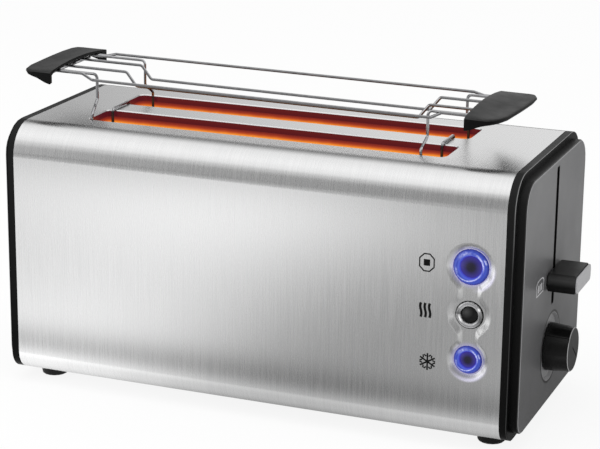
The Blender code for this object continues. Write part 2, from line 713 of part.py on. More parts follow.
def make_chassis():
    """Two end plates that straddle the tray, and a heat shield on each long side."""
    tray_top = BASE_TOP + GAP + TRAY_HEIGHT + TRAY_CLEARANCE
    places = {"chassis_plate_left": CHASSIS_LEFT, "chassis_plate_right": CHASSIS_RIGHT - CHASSIS_SHEET}
    for name, low_x in places.items():
        plate = block(name, (low_x, -CHASSIS_HALF_DEPTH, BASE_TOP + GAP),
                      (low_x + CHASSIS_SHEET, CHASSIS_HALF_DEPTH, INNER_TOP - GAP), ZINC)
        half = TRAY_HALF_WIDTH + TRAY_CLEARANCE
        cut(plate, block(f"{name}_arch", (low_x - OVERRUN, -half, BASE_LOW),
                         (low_x + CHASSIS_SHEET + OVERRUN, half, tray_top), ZINC))
        if name.endswith("right"):
            for i, chamber in enumerate(CHAMBERS):
                half_slot = SHELF_THICKNESS / 2 + TRAY_CLEARANCE
                cut(plate, block(f"shelf_slot_{i}",
                                 (low_x - OVERRUN, chamber - half_slot, SHELF_TOP - SHELF_WEB * 2),
                                 (low_x + CHASSIS_SHEET + OVERRUN, chamber + half_slot,
                                  SHELF_TOP + LIFT_TRAVEL + SHELF_WEB), ZINC))
            hanger_z = INNER_TOP - SPRING_HANGER_DROP
            hanger = block("spring_hanger", (low_x + CHASSIS_SHEET / 2, SPRING_OFFSET - SPRING_RADIUS,
                                             hanger_z),
                           (SPRING_X + SPRING_RADIUS, SPRING_OFFSET + SPRING_RADIUS,
                            hanger_z + SPRING_HANGER), ZINC)
            join(plate, hanger)
    for name, y in (("front_heat_shield", -SHIELD_OFFSET), ("back_heat_shield", SHIELD_OFFSET)):
        block(name, (LINER_LEFT, y - CHASSIS_SHEET / 2, SHIELD_LOW),
              (LINER_RIGHT, y + CHASSIS_SHEET / 2, INNER_TOP - GAP), ZINC)


def make_liners():
    """Open sleeves under the slots, round the steel's lips."""
    for name, chamber in zip(("front_slot_liner", "back_slot_liner"), CHAMBERS):
        liner = prism(name, slot_outline(chamber, LINER_GROW + LINER_SHEET), "Z",
                      LINER_LOW, INNER_TOP - GAP, ZINC)
        cut(liner, prism(f"{name}_inside", slot_outline(chamber, LINER_GROW), "Z",
                         LINER_LOW - OVERRUN, INNER_TOP + OVERRUN, ZINC))


def make_heaters():
    """Mica boards with flat ribbon wound round them, drawn as raised strips."""
    high = LINER_LOW - GAP
    places = {
        "heater_front": CHAMBERS[0] - HEATER_SIDE_OFFSET,
        "heater_middle_front": CHAMBERS[0] + HEATER_MIDDLE_OFFSET,
        "heater_middle_back": CHAMBERS[1] - HEATER_MIDDLE_OFFSET,
        "heater_back": CHAMBERS[1] + HEATER_SIDE_OFFSET,
    }
    left, right = LINER_LEFT, LINER_RIGHT
    for name, y in places.items():
        half = HEATER_SHEET / 2
        deep = half + RIBBON_RISE
        pitch = (right - left - 2 * RIBBON_MARGIN) / RIBBON_COUNT
        near = [(left, y - half)]
        for i in range(RIBBON_COUNT):
            start = left + RIBBON_MARGIN + pitch * (i + 1 / 2) - RIBBON_WIDTH / 2
            near += [(start, y - half), (start, y - deep),
                     (start + RIBBON_WIDTH, y - deep), (start + RIBBON_WIDTH, y - half)]
        near += [(right, y - half)]
        far = [(x, 2 * y - back) for x, back in reversed(near)]
        prism(name, near + far, "Z", HEATER_LOW, high, MICA)


def make_guides():
    """Wire grids on both sides of each slice, hung from a bar at the top and bottom."""
    left = LINER_LEFT
    right = LINER_RIGHT
    high = LINER_LOW - GUIDE_BAR
    for slot, chamber in zip(("front_slot", "back_slot"), CHAMBERS):
        for face, way in (("front", -1), ("back", 1)):
            name = f"{slot}_guide_{face}"
            y = chamber + way * GUIDE_CLOSED
            guide = block(name, (left, y - GUIDE_WIRE, high - GUIDE_BAR),
                          (right, y + GUIDE_WIRE, high), CHROME)
            foot = block(f"{name}_foot", (left, y - GUIDE_WIRE, GUIDE_LOW),
                         (right, y + GUIDE_WIRE, GUIDE_LOW + GUIDE_BAR), CHROME)
            join(guide, foot)
            for i in range(GUIDE_COUNT):
                x = left + (right - left) * (i + 1 / 2) / GUIDE_COUNT
                rod = prism(f"{name}_wire_{i}", circle(GUIDE_ROD_RADIUS, (x, y), 5), "Z",
                            GUIDE_LOW + GUIDE_BAR / 2, high - GUIDE_BAR / 2, CHROME)
                join(guide, rod)


def make_shelves():
    """Bread shelf for each slot: a pierced strip over a web, with a neck to the bracket."""
    left = SLOT_LEFT + SHELF_END_GAP
    right = SLOT_RIGHT - SHELF_END_GAP
    for name, chamber in zip(("front_bread_shelf", "back_bread_shelf"), CHAMBERS):
        half = SHELF_WIDTH / 2
        shelf = block(name, (left, chamber - half, SHELF_TOP - SHELF_THICKNESS),
                      (right, chamber + half, SHELF_TOP), ZINC)
        pitch = (right - left) / SHELF_HOLES
        for i in range(SHELF_HOLES):
            for side, y in (("front", chamber - half / 2), ("back", chamber + half / 2)):
                start = left + pitch * i + SHELF_HOLE_RIB / 2
                width = SHELF_HOLE_WIDTH / 2
                cut(shelf, block(f"{name}_hole_{side}_{i}",
                                 (start, y - width / 2, SHELF_TOP - SHELF_THICKNESS - OVERRUN),
                                 (start + pitch - SHELF_HOLE_RIB, y + width / 2, SHELF_TOP + OVERRUN), ZINC))
        web = block(f"{name}_web", (left, chamber - SHELF_THICKNESS / 2, SHELF_TOP - SHELF_WEB),
                    (BRACKET_X - GAP, chamber + SHELF_THICKNESS / 2, SHELF_TOP - SHELF_THICKNESS / 2), ZINC)
        join(shelf, web)


def rod_places():
    return [("front", -ROD_SPACING / 2), ("back", ROD_SPACING / 2)]


def make_carriage():
    low = SHELF_TOP - BRACKET_DROP
    column_top = LEVER_HEIGHT + ARM_HEIGHT
    bracket = block("carriage_bracket", (BRACKET_X, -BRACKET_HALF_WIDTH, low),
                    (BRACKET_BACK_X, BRACKET_HALF_WIDTH, SHELF_TOP + SHELF_WEB), ZINC)
    column = block("bracket_column", (BRACKET_X, -BRACKET_COLUMN, SHELF_TOP),
                   (BRACKET_BACK_X, BRACKET_COLUMN, column_top + TAB_THICKNESS), ZINC)
    foot_tab = block("bracket_foot_tab", (BRACKET_X + BRACKET_SHEET / 2, -FOOT_TAB_HALF_WIDTH, low),
                     (BRACKET_BACK_X + BRACKET_TAB, FOOT_TAB_HALF_WIDTH, low + TAB_THICKNESS), ZINC)
    head_x = ROD_X + ROD_RADIUS * 2
    head_tab = block("bracket_head_tab", (BRACKET_X + BRACKET_SHEET / 2, -HEAD_TAB_HALF_WIDTH, column_top),
                     (head_x, HEAD_TAB_HALF_WIDTH, column_top + TAB_THICKNESS), ZINC)
    join(bracket, column, foot_tab, head_tab)
    for side, y in rod_places():
        cut(bracket, prism(f"{side}_rod_eye", circle(ROD_RADIUS + ROD_CLEARANCE, (ROD_X, y), 12), "Z",
                           low - OVERRUN, column_top + TAB_THICKNESS + OVERRUN, ZINC))
    armature_top = low - GAP
    half = ARMATURE_SIZE / 2
    magnet_x = SPRING_X - SPRING_RADIUS / 2
    block("armature", (magnet_x - half, -half, armature_top - ARMATURE_THICKNESS),
          (magnet_x + half, half, armature_top), STEEL)
    magnet_top = armature_top - ARMATURE_THICKNESS - GAP
    shoe = TAB_THICKNESS
    coil_low = BASE_TOP + GAP + shoe
    profile = [
        (0, BASE_TOP + GAP), (half, BASE_TOP + GAP), (half, coil_low), (MAGNET_POLE_RADIUS, coil_low),
        (MAGNET_RADIUS, coil_low + shoe), (MAGNET_RADIUS, magnet_top - shoe * 2),
        (MAGNET_POLE_RADIUS, magnet_top - shoe), (MAGNET_POLE_RADIUS, magnet_top), (0, magnet_top),
    ]
    turned("holding_magnet", profile, ZINC, (magnet_x, 0, 0), steps=12)
    for side, y in rod_places():
        prism(f"guide_rod_{side}", circle(ROD_RADIUS, (ROD_X, y), 10), "Z",
              BASE_TOP + GAP, INNER_TOP - GAP, CHROME)


def make_return_spring():
    """Pull spring from the bracket's foot tab up to its hanger, stretched at rest."""
    low = SHELF_TOP - BRACKET_DROP + TAB_THICKNESS + GAP + SPRING_WIRE
    high = INNER_TOP - SPRING_HANGER_DROP - GAP - SPRING_WIRE
    radius = SPRING_RADIUS - SPRING_WIRE
    count = SPRING_TURNS * SPRING_STEPS
    path = []
    for i in range(count + 1):
        angle = 2 * pi * i / SPRING_STEPS
        path.append(Vector((SPRING_X + radius * cos(angle), SPRING_OFFSET + radius * sin(angle),
                            low + (high - low) * i / count)))
    turns = zip(path, path[SPRING_STEPS:])
    least = min((above - below).length for below, above in turns) - 2 * SPRING_WIRE
    print("least gap between the spring's turns:", round(least, 5), "m")
    wire("return_spring", path, SPRING_WIRE, CHROME, 0)


def lever_section(inset=0.0):
    half = LEVER_WIDTH / 2 - inset
    low = LEVER_HEIGHT - LEVER_THICKNESS / 2 + inset
    high = LEVER_HEIGHT + LEVER_THICKNESS / 2 - inset
    corner = LEVER_CORNER - inset
    return rounded_box((-half, low), (half, high), (corner, corner))


def make_lever():
    arm_half = ARM_THICKNESS / 2
    arm_low = LEVER_HEIGHT - ARM_HEIGHT / 2
    root = PANEL_X + LEVER_PANEL_GAP
    block("lever_arm", (BRACKET_BACK_X + GAP, -arm_half, arm_low),
          (root + ARM_SOCKET - GAP, arm_half, arm_low + ARM_HEIGHT), ZINC)
    end = LEVER_REACH - LEVER_END_PLATE - GAP
    knob = loft("lever_knob", [
        in_space(lever_section(LEVER_END_INSET), "X", root),
        in_space(lever_section(), "X", root + LEVER_END_INSET),
        in_space(lever_section(), "X", end - LEVER_END_INSET),
        in_space(lever_section(LEVER_END_INSET), "X", end),
    ], PLASTIC)
    socket = block("arm_socket", (root - OVERRUN, -arm_half - GAP, arm_low - GAP),
                   (root + ARM_SOCKET, arm_half + GAP, arm_low + ARM_HEIGHT + GAP), PLASTIC)
    cut(knob, socket)
    prism("lever_end_plate", lever_section(LEVER_END_INSET), "X", end + GAP, LEVER_REACH, PALE)


def along_pointer(start, end, width):
    """Strip on the line of the dial's pointer, with distances measured from the dial's centre."""
    c, s = cos(DIAL_POINTER_ANGLE), sin(DIAL_POINTER_ANGLE)
    outline = box_outline((start, -width / 2), (end, width / 2))
    return [(y * c - z * s, DIAL_HEIGHT + y * s + z * c) for y, z in outline]


def make_dial():
    """Dial with a pointer line on its face and a channel along its side, on its shaft."""
    depth = DIAL_DEPTH
    lift = DIAL_LIFT
    bore = DIAL_SHAFT_RADIUS + GAP
    profile = [
        (0, lift + DIAL_SHAFT_GRIP), (bore, lift + DIAL_SHAFT_GRIP), (bore, lift), (DIAL_RADIUS, lift),
        (DIAL_FACE_RADIUS, depth - DIAL_EDGE), (DIAL_FACE_RADIUS - DIAL_EDGE, depth), (0, depth),
    ]
    dial = turned("browning_dial", profile, PLASTIC, (DISH_FLOOR_X, 0, DIAL_HEIGHT), "+X", 28)
    top = DISH_FLOOR_X + depth
    mark = along_pointer(DIAL_POINTER_START, DIAL_POINTER_END, DIAL_POINTER_WIDTH)
    pointer = prism("dial_pointer", mark, "X", top - DIAL_POINTER_DEPTH, top + OVERRUN, PLASTIC)
    beyond = -DIAL_RADIUS - OVERRUN
    floors = (DIAL_CHANNEL_DEPTH - DIAL_RADIUS, DIAL_CHANNEL_DEPTH - DIAL_FACE_RADIUS)
    channel = loft("dial_channel", [
        in_space(along_pointer(beyond, floor, DIAL_CHANNEL_WIDTH), "X", level)
        for floor, level in zip(floors, (DISH_FLOOR_X, top + DIAL_EDGE))
    ], PLASTIC)
    cut(dial, pointer, channel)
    shaft_low = PANEL_X - CAP_WALL - DISH_BOSS - GAP
    turned("dial_shaft", [(0, 0), (DIAL_SHAFT_RADIUS, 0),
                          (DIAL_SHAFT_RADIUS, DISH_FLOOR_X + lift + DIAL_SHAFT_GRIP - GAP - shaft_low),
                          (0, DISH_FLOOR_X + lift + DIAL_SHAFT_GRIP - GAP - shaft_low)],
           ZINC, (shaft_low, 0, DIAL_HEIGHT), "+X", 12)
    pot_end = shaft_low - GAP
    turned("dial_potentiometer", [
        (0, -POT_LENGTH), (POT_RADIUS, -POT_LENGTH), (POT_RADIUS, 0), (0, 0),
    ], ZINC, (pot_end, 0, DIAL_HEIGHT), "+X", 16)


def make_buttons():
    """Clear rings trapped behind the steel, with a cap that slides in each."""
    stem_end = BOARD_FRONT - SWITCH_HEIGHT - BUTTON_TRAVEL - GAP
    finishes = (RING_BLUE, RING_CLEAR, RING_BLUE)
    behind = RECESS_FLOOR - RECESS_BACK - GAP
    flange_back = behind - RING_FLANGE_THICKNESS
    ring_back = behind - RING_DEPTH
    rows = zip(BUTTON_NAMES, BUTTON_HEIGHTS, RING_RADII, CAP_RADII, finishes)
    for name, height, radius, cap, finish in rows:
        inner = cap + GAP
        ring = [(inner + (radius - inner) * run, RING_PROUD * rise)
                for run, rise in zip(RING_RUN_SHARES, RING_RISE_SHARES)]
        ring += [
            (radius, behind), (radius + RING_FLANGE, behind), (radius + RING_FLANGE, flange_back),
            (radius, flange_back), (radius, ring_back), (inner, ring_back),
        ]
        turned(f"{name}_ring", ring, finish, (BUTTON_X, RECESS_FLOOR, height), "-Y")
        stem = RECESS_FLOOR - stem_end
        button = [
            (0, stem), (BUTTON_STEM_RADIUS, stem), (BUTTON_STEM_RADIUS, ring_back), (cap, ring_back),
            (cap, 0), (cap * BUTTON_CROWN_SHARE, BUTTON_CROWN / 2), (0, BUTTON_CROWN),
        ]
        turned(f"{name}_button", button, PLASTIC, (BUTTON_X, RECESS_FLOOR, height), "-Y", 16)


def make_controls():
    """Carrier that holds the rings against the steel, and the board with its switches."""
    grow = HOUSING_SHEET + CARRIER_MARGIN
    lobes = [ring + margin + grow for ring, margin in zip(RING_RADII, LOBE_MARGINS)]
    low = (BUTTON_X - CARRIER_WIDTH / 2, BUTTON_HEIGHTS[2] - lobes[2])
    high = (BUTTON_X + CARRIER_WIDTH / 2, BUTTON_HEIGHTS[0] + lobes[0])
    carrier = prism("switch_carrier", rounded_box(low, high, (CARRIER_CORNER, CARRIER_CORNER)), "Y",
                    CARRIER_FRONT, CARRIER_BACK, PLASTIC)
    rail = CARRIER_MARGIN - GAP
    for end, z0, z1 in (("low", low[1], low[1] + rail), ("high", high[1] - rail, high[1])):
        join(carrier, block(f"carrier_rail_{end}", (low[0] + CARRIER_CORNER, FRONT + HOUSING_SHEET + GAP, z0),
                            (high[0] - CARRIER_CORNER, CARRIER_BACK - CARRIER_SHEET / 2, z1), PLASTIC))
    for i, height in enumerate(BUTTON_HEIGHTS):
        hole = circle(RING_RADII[i] + STEM_CLEARANCE, (BUTTON_X, height), 20)
        cut(carrier, prism(f"carrier_hole_{i}", hole, "Y", CARRIER_FRONT - OVERRUN,
                           CARRIER_BACK + OVERRUN, PLASTIC))
    post_x = CARRIER_WIDTH / 2 - CARRIER_CORNER
    for i, (x, z) in enumerate(((-post_x, low[1] + CARRIER_CORNER), (post_x, low[1] + CARRIER_CORNER),
                                (-post_x, high[1] - CARRIER_CORNER), (post_x, high[1] - CARRIER_CORNER))):
        join(carrier, prism(f"carrier_post_{i}", circle(BOARD_POST_RADIUS, (BUTTON_X + x, z), 8), "Y",
                            CARRIER_BACK - CARRIER_SHEET / 2, BOARD_FRONT - GAP, PLASTIC))
    board = block("control_board", (low[0], BOARD_FRONT, low[1]), (high[0], BOARD_BACK, high[1]), BOARD)
    for i, height in enumerate(BUTTON_HEIGHTS):
        half = SWITCH_SIDE / 2
        join(board, block(f"switch_{i}", (BUTTON_X - half, BOARD_FRONT - SWITCH_HEIGHT, height - half),
                          (BUTTON_X + half, BOARD_FRONT + BOARD_THICKNESS / 2, height + half), BOARD))


def handle_inner_x(side):
    return RACK_LEFT if side < 0 else RACK_RIGHT


def rack_z(x, above=0.0):
    """Height over the counter of a place on the sloping rack."""
    return RACK_HEIGHT - (x - RACK_CENTRE_X) * RACK_SLOPE + above


def rail_path(y, drop, insets):
    """A wire between the handles whose middle stretch steps down, or up for a negative drop."""
    left = RACK_LEFT + insets[0]
    right = RACK_RIGHT - insets[1]
    across = [(RACK_LEFT - HANDLE_WIRE_REACH, 0), (left - STEP_RUN, 0), (left, -drop),
              (right, -drop), (right + STEP_RUN, 0), (RACK_RIGHT + HANDLE_WIRE_REACH, 0)]
    return bent_path([(x, y, rack_z(x, z)) for x, z in across], WIRE_BEND)


def leg_half(centre_x, side, way):
    """Half a leg wire: from the handle, down into one slot and up to the bridge."""
    foot_x = centre_x + way * LEG_SKEW
    top_x = foot_x + (side * LEG_FLARE if way == side else 0)
    inside_x = centre_x + side * LEG_INSIDE_SHIFT
    start_x = handle_inner_x(side) + side * HANDLE_WIRE_REACH
    low = TOP - LEG_DEPTH
    over = TOP + GAP + RACK_WIRE
    return [
        (start_x, way * LEG_LINE, rack_z(start_x)),
        (top_x, way * LEG_LINE, rack_z(top_x)),
        (top_x, way * LEG_LINE, rack_z(top_x, -LEG_KNEE)),
        (foot_x, way * LEG_FOOT_LINE, TOP + LEG_FOOT_RISE),
        (foot_x, way * LEG_FOOT_LINE, low),
        (inside_x, way * LEG_INSIDE_LINE, low),
        (inside_x, way * LEG_INSIDE_LINE, over),
    ]


def make_leg(name, centre_x, side):
    """One wire stands in both slots and lies over the bridge between them."""
    corners = leg_half(centre_x, side, -1) + leg_half(centre_x, side, 1)[::-1]
    wire(name, bent_path(corners, WIRE_BEND), RACK_WIRE, CHROME)


def handle_crest(share):
    """Height of the handle's inner edge, which arches over the rack's wires."""
    return HANDLE_EDGE + HANDLE_ARCH * (1 - share * share)


def handle_ring(x0, side, share, depth_share, drop_share):
    """The handle's outline at a share of its half width from the middle."""
    depth = HANDLE_DEPTH * depth_share
    crest = handle_crest(share)
    dish = HANDLE_DISH * (1 - share * share)
    lip = HANDLE_EDGE - HANDLE_LIP_THICKNESS
    section = [
        (0, HANDLE_LOW + HANDLE_BEVEL), (0, crest),
        (depth * HANDLE_CREST_SHARE, (crest * 2 + HANDLE_EDGE) / 3 - dish / 2),
        (depth * HANDLE_DISH_SHARE, HANDLE_EDGE - dish / 2), (depth - HANDLE_BEVEL * 2, HANDLE_EDGE),
        (depth - HANDLE_BEVEL / 2, HANDLE_EDGE - HANDLE_BEVEL / 2), (depth, HANDLE_EDGE - HANDLE_BEVEL * 2),
        (depth - HANDLE_BEVEL, lip), (depth * HANDLE_BELLY_SHARE, lip - HANDLE_BEVEL),
        (depth * HANDLE_CREST_SHARE, (HANDLE_LOW + lip) / 2 - HANDLE_BEVEL), (HANDLE_BEVEL, HANDLE_LOW),
    ]
    drop = HANDLE_LIP_THICKNESS * drop_share
    y = HANDLE_WIDTH / 2 * share
    return [(x0 + side * x, y, rack_z(x0 + side * x, max(z - drop, HANDLE_LOW))) for x, z in section]


def hollow_ring(x0, side, share):
    """The room for the wires under the handle, open below and towards the rack."""
    y = (HANDLE_WIDTH / 2 - HANDLE_END_WALL) * share
    clear = RACK_WIRE + GAP
    roof = max(handle_crest(share) - HANDLE_WALL, clear) if abs(share) < 1 else -clear
    back = min(roof, clear)
    outline = [(-OVERRUN, HANDLE_LOW - OVERRUN), (HANDLE_HOLLOW, HANDLE_LOW - OVERRUN),
               (HANDLE_HOLLOW, -clear), (HANDLE_WIRE_REACH + GAP, back), (-OVERRUN, roof)]
    return [(x0 + side * x, y, rack_z(x0 + side * x, z)) for x, z in outline]


def make_handle(name, side):
    x0 = handle_inner_x(side)
    rings = [handle_ring(x0, side, *shares)
             for shares in zip(HANDLE_RING_SHARES, HANDLE_DEPTH_SHARES, HANDLE_DROP_SHARES)]
    handle = loft(name, rings, PLASTIC)
    handle.data.shade_smooth()
    hollow = loft(f"{name}_hollow", [hollow_ring(x0, side, share) for share in HOLLOW_RING_SHARES],
                  PLASTIC)
    return cut(handle, hollow)


def make_rack():
    spread = 2 * RACK_WIRE + GAP
    outer = LEG_LINE + spread
    wire("rack_rail_front", rail_path(-outer, FRONT_RAIL_DROP, FRONT_RAIL_INSETS), RACK_WIRE, CHROME, 2)
    wire("rack_rail_back", rail_path(outer, BACK_RAIL_DROP, BACK_RAIL_INSETS), RACK_WIRE, CHROME, 2)
    wire("rack_wire_front", rail_path(-INNER_LINE, INNER_DROP, INNER_INSETS), RACK_WIRE, CHROME, 2)
    wire("rack_wire_back", rail_path(INNER_LINE, INNER_DROP, INNER_INSETS), RACK_WIRE, CHROME, 2)
    for end, side, centre_x in (("left", -1, LEG_CENTRES_X[0]), ("right", 1, LEG_CENTRES_X[1])):
        x = handle_inner_x(side) + side * (HANDLE_WIRE_REACH - 2 * RACK_WIRE)
        cross = [Vector((x, y, rack_z(x, -spread))) for y in (-outer, outer)]
        wire(f"rack_cross_{end}", cross, RACK_WIRE, CHROME, 2)
        make_leg(f"rack_leg_{end}", centre_x, side)
        make_handle(f"rack_handle_{end}", side)


make_housing()
make_right_cap()
make_left_cap()
make_base()
make_feet()
make_gland()
make_tray()
make_chassis()
make_liners()
make_heaters()
make_guides()
make_shelves()
make_carriage()
make_return_spring()
make_lever()
make_dial()
make_buttons()
make_controls()
make_rack()
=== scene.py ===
"""Looks for the long-slot toaster: its steel, plastics, glow, lit buttons and bun rack.

Metres, +Z up, +X to the lever end, -Y to the front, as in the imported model.
"""

import json
from math import cos, pi, radians, sin, tan

import bpy
from mathutils import Matrix, Vector

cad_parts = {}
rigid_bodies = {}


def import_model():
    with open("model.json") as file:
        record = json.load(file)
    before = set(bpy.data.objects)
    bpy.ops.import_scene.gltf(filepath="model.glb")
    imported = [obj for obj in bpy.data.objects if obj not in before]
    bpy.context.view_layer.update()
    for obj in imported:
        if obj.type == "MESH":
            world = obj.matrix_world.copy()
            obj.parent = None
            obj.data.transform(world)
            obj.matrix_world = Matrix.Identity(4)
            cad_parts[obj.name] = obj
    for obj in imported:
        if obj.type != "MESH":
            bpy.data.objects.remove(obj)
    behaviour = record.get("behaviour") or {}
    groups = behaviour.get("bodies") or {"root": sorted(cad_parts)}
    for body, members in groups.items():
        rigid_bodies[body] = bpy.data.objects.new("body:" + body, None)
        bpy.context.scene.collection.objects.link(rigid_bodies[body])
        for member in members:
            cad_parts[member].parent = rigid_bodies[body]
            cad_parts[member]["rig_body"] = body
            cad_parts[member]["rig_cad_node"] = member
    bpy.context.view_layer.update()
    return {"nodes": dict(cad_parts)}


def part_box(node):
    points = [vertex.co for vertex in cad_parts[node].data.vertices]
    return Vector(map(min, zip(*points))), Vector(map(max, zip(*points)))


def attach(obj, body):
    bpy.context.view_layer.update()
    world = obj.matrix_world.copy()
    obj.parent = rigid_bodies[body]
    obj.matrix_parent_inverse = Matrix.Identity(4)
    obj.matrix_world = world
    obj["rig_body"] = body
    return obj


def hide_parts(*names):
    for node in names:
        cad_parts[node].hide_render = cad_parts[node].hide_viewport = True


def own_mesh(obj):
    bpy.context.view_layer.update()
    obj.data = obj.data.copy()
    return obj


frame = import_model()


# Modelling helpers

MERGE_DISTANCE = 0.00002
FLAT_DEGREES = 0.4


def deselect():
    if bpy.context.object and bpy.context.object.mode != "OBJECT":
        bpy.ops.object.mode_set(mode="OBJECT")
    bpy.ops.object.select_all(action="DESELECT")


def take(obj):
    """Make obj the only selected and active object."""
    deselect()
    obj.hide_set(False)
    obj.select_set(True)
    bpy.context.view_layer.objects.active = obj
    return obj


def apply_modifier(obj, kind, **settings):
    take(obj)
    step = obj.modifiers.new(kind.lower(), kind)
    for name, value in settings.items():
        setattr(step, name, value)
    bpy.ops.object.modifier_apply(modifier=step.name)


def set_finish(obj, finish):
    obj.data.materials.clear()
    obj.data.materials.append(finish)


def on_body(obj, body, *nodes, slot=None):
    """Hang a finished piece on its body, standing for the given CAD nodes."""
    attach(obj, body)
    if nodes:
        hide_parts(*nodes)
    return obj


def refine(node, finish, slot, edge=0.0, angle=32, segments=2, shape=None):
    """A copy of a CAD piece with merged points, small round edges and smooth curves."""
    source = take(frame["nodes"][node])
    body = source["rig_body"]
    bpy.ops.object.duplicate()
    piece = bpy.context.object
    piece.name = node + "_shell"
    del piece["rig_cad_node"]
    bpy.ops.object.mode_set(mode="EDIT")
    bpy.ops.mesh.select_all(action="SELECT")
    bpy.ops.mesh.remove_doubles(threshold=MERGE_DISTANCE)
    bpy.ops.mesh.dissolve_limited(angle_limit=radians(FLAT_DEGREES))
    bpy.ops.object.mode_set(mode="OBJECT")
    if shape:
        shape(piece)
    if edge:
        apply_modifier(piece, "BEVEL", width=edge, segments=segments, limit_method="ANGLE",
                       angle_limit=radians(angle), miter_outer="MITER_ARC",
                       use_clamp_overlap=True)
    take(piece)
    bpy.ops.object.shade_smooth_by_angle(angle=radians(angle))
    apply_modifier(piece, "WEIGHTED_NORMAL", weight=100, keep_sharp=True)
    set_finish(piece, finish)
    return on_body(piece, body, node, slot=slot)


# Places on the toaster

housing_low, housing_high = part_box("steel_housing")
cap_low, cap_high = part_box("right_end_cap")
left_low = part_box("left_end_cap")[0]
liner_low, liner_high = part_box("front_slot_liner")
dial_low, dial_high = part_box("browning_dial")

FRONT_Y = housing_low.y
TOP_Z = housing_high.z
HOUSING_MIDDLE_X = (housing_low.x + housing_high.x) / 2
# The outer faces of the end caps, counted from the housing's middle.
PANEL_FACE = cap_high.x - HOUSING_MIDDLE_X
LEFT_PANEL_FACE = HOUSING_MIDDLE_X - left_low.x
FLANGE_FACE = 0.1930
PANEL_DEPTH = 0.0026

BREAD_SLOT_Y = abs(liner_low.y + liner_high.y) / 2
BREAD_SLOT_HALF = 0.0175
BREAD_SLOT_CHAMFER = 0.0006
LEVER_SLOT_HALF = 0.00325
LEVER_SLOT_LOW = 0.0885
LEVER_SLOT_HIGH = 0.190

DIAL_FACE = dial_high.x
DIAL_MIDDLE = (0, 0, (dial_low.z + dial_high.z) / 2)
DIAL_RIM = 0.0152
DISH_RADIUS = 0.025

RING_FLANGE = 0.0022
LIT_NAMES = ("stop", "defrost")
KEY_NAMES = ("stop", "reheat", "defrost")

# How deep each outline of the stamped recess lies, and how far it is drawn inwards.
RECESS_PULLS = ((0.000252, 0.0005), (0.001548, 0.0017), (0.0018, 0.0025))
RECESS_LEVEL_SLACK = 0.00002
RECESS_FLOOR_LEFT = 0.0009
RECESS_REACH = 0.025


def ring_place(name):
    """The middle and the visible outer radius of a key's ring, without its hidden flange."""
    low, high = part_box(name + "_ring")
    return (low + high) / 2, (high.x - low.x) / 2 - RING_FLANGE


def ease_recess(housing):
    """Spread the stamped slope round the keys further in, so that it runs out softly."""
    centres = [ring_place(name) for name in KEY_NAMES]
    for vertex in housing.data.vertices:
        place = vertex.co
        for depth, pull in RECESS_PULLS:
            if abs(place.y - FRONT_Y - depth) > RECESS_LEVEL_SLACK:
                continue
            away, middle, radius = min(
                ((place.x - middle.x) ** 2 + (place.z - middle.z) ** 2, middle, radius)
                for middle, radius in centres)
            away = away ** 0.5
            if radius + RECESS_FLOOR_LEFT < away < RECESS_REACH:
                pull = min(pull, away - radius - RECESS_FLOOR_LEFT)
                place.x += (middle.x - place.x) / away * pull
                place.z += (middle.z - place.z) / away * pull
    housing.data.update()


# Node chains

# Most values of a noise lie between these two.
NOISE_LOW = 0.3
NOISE_HIGH = 0.7
MOULD_GRAIN = 2600
MOULD_GRAIN_DEPTH = 0.0001
BLACK = (0, 0, 0)
WHITE = (1, 1, 1)


def grey(tone, blue=0.0):
    """A grey, bluer by the second number."""
    return (tone, tone, tone + blue)


def greys(*stops):
    """Ramp stops from (place, tone) pairs."""
    return [(place, grey(tone)) for place, tone in stops]


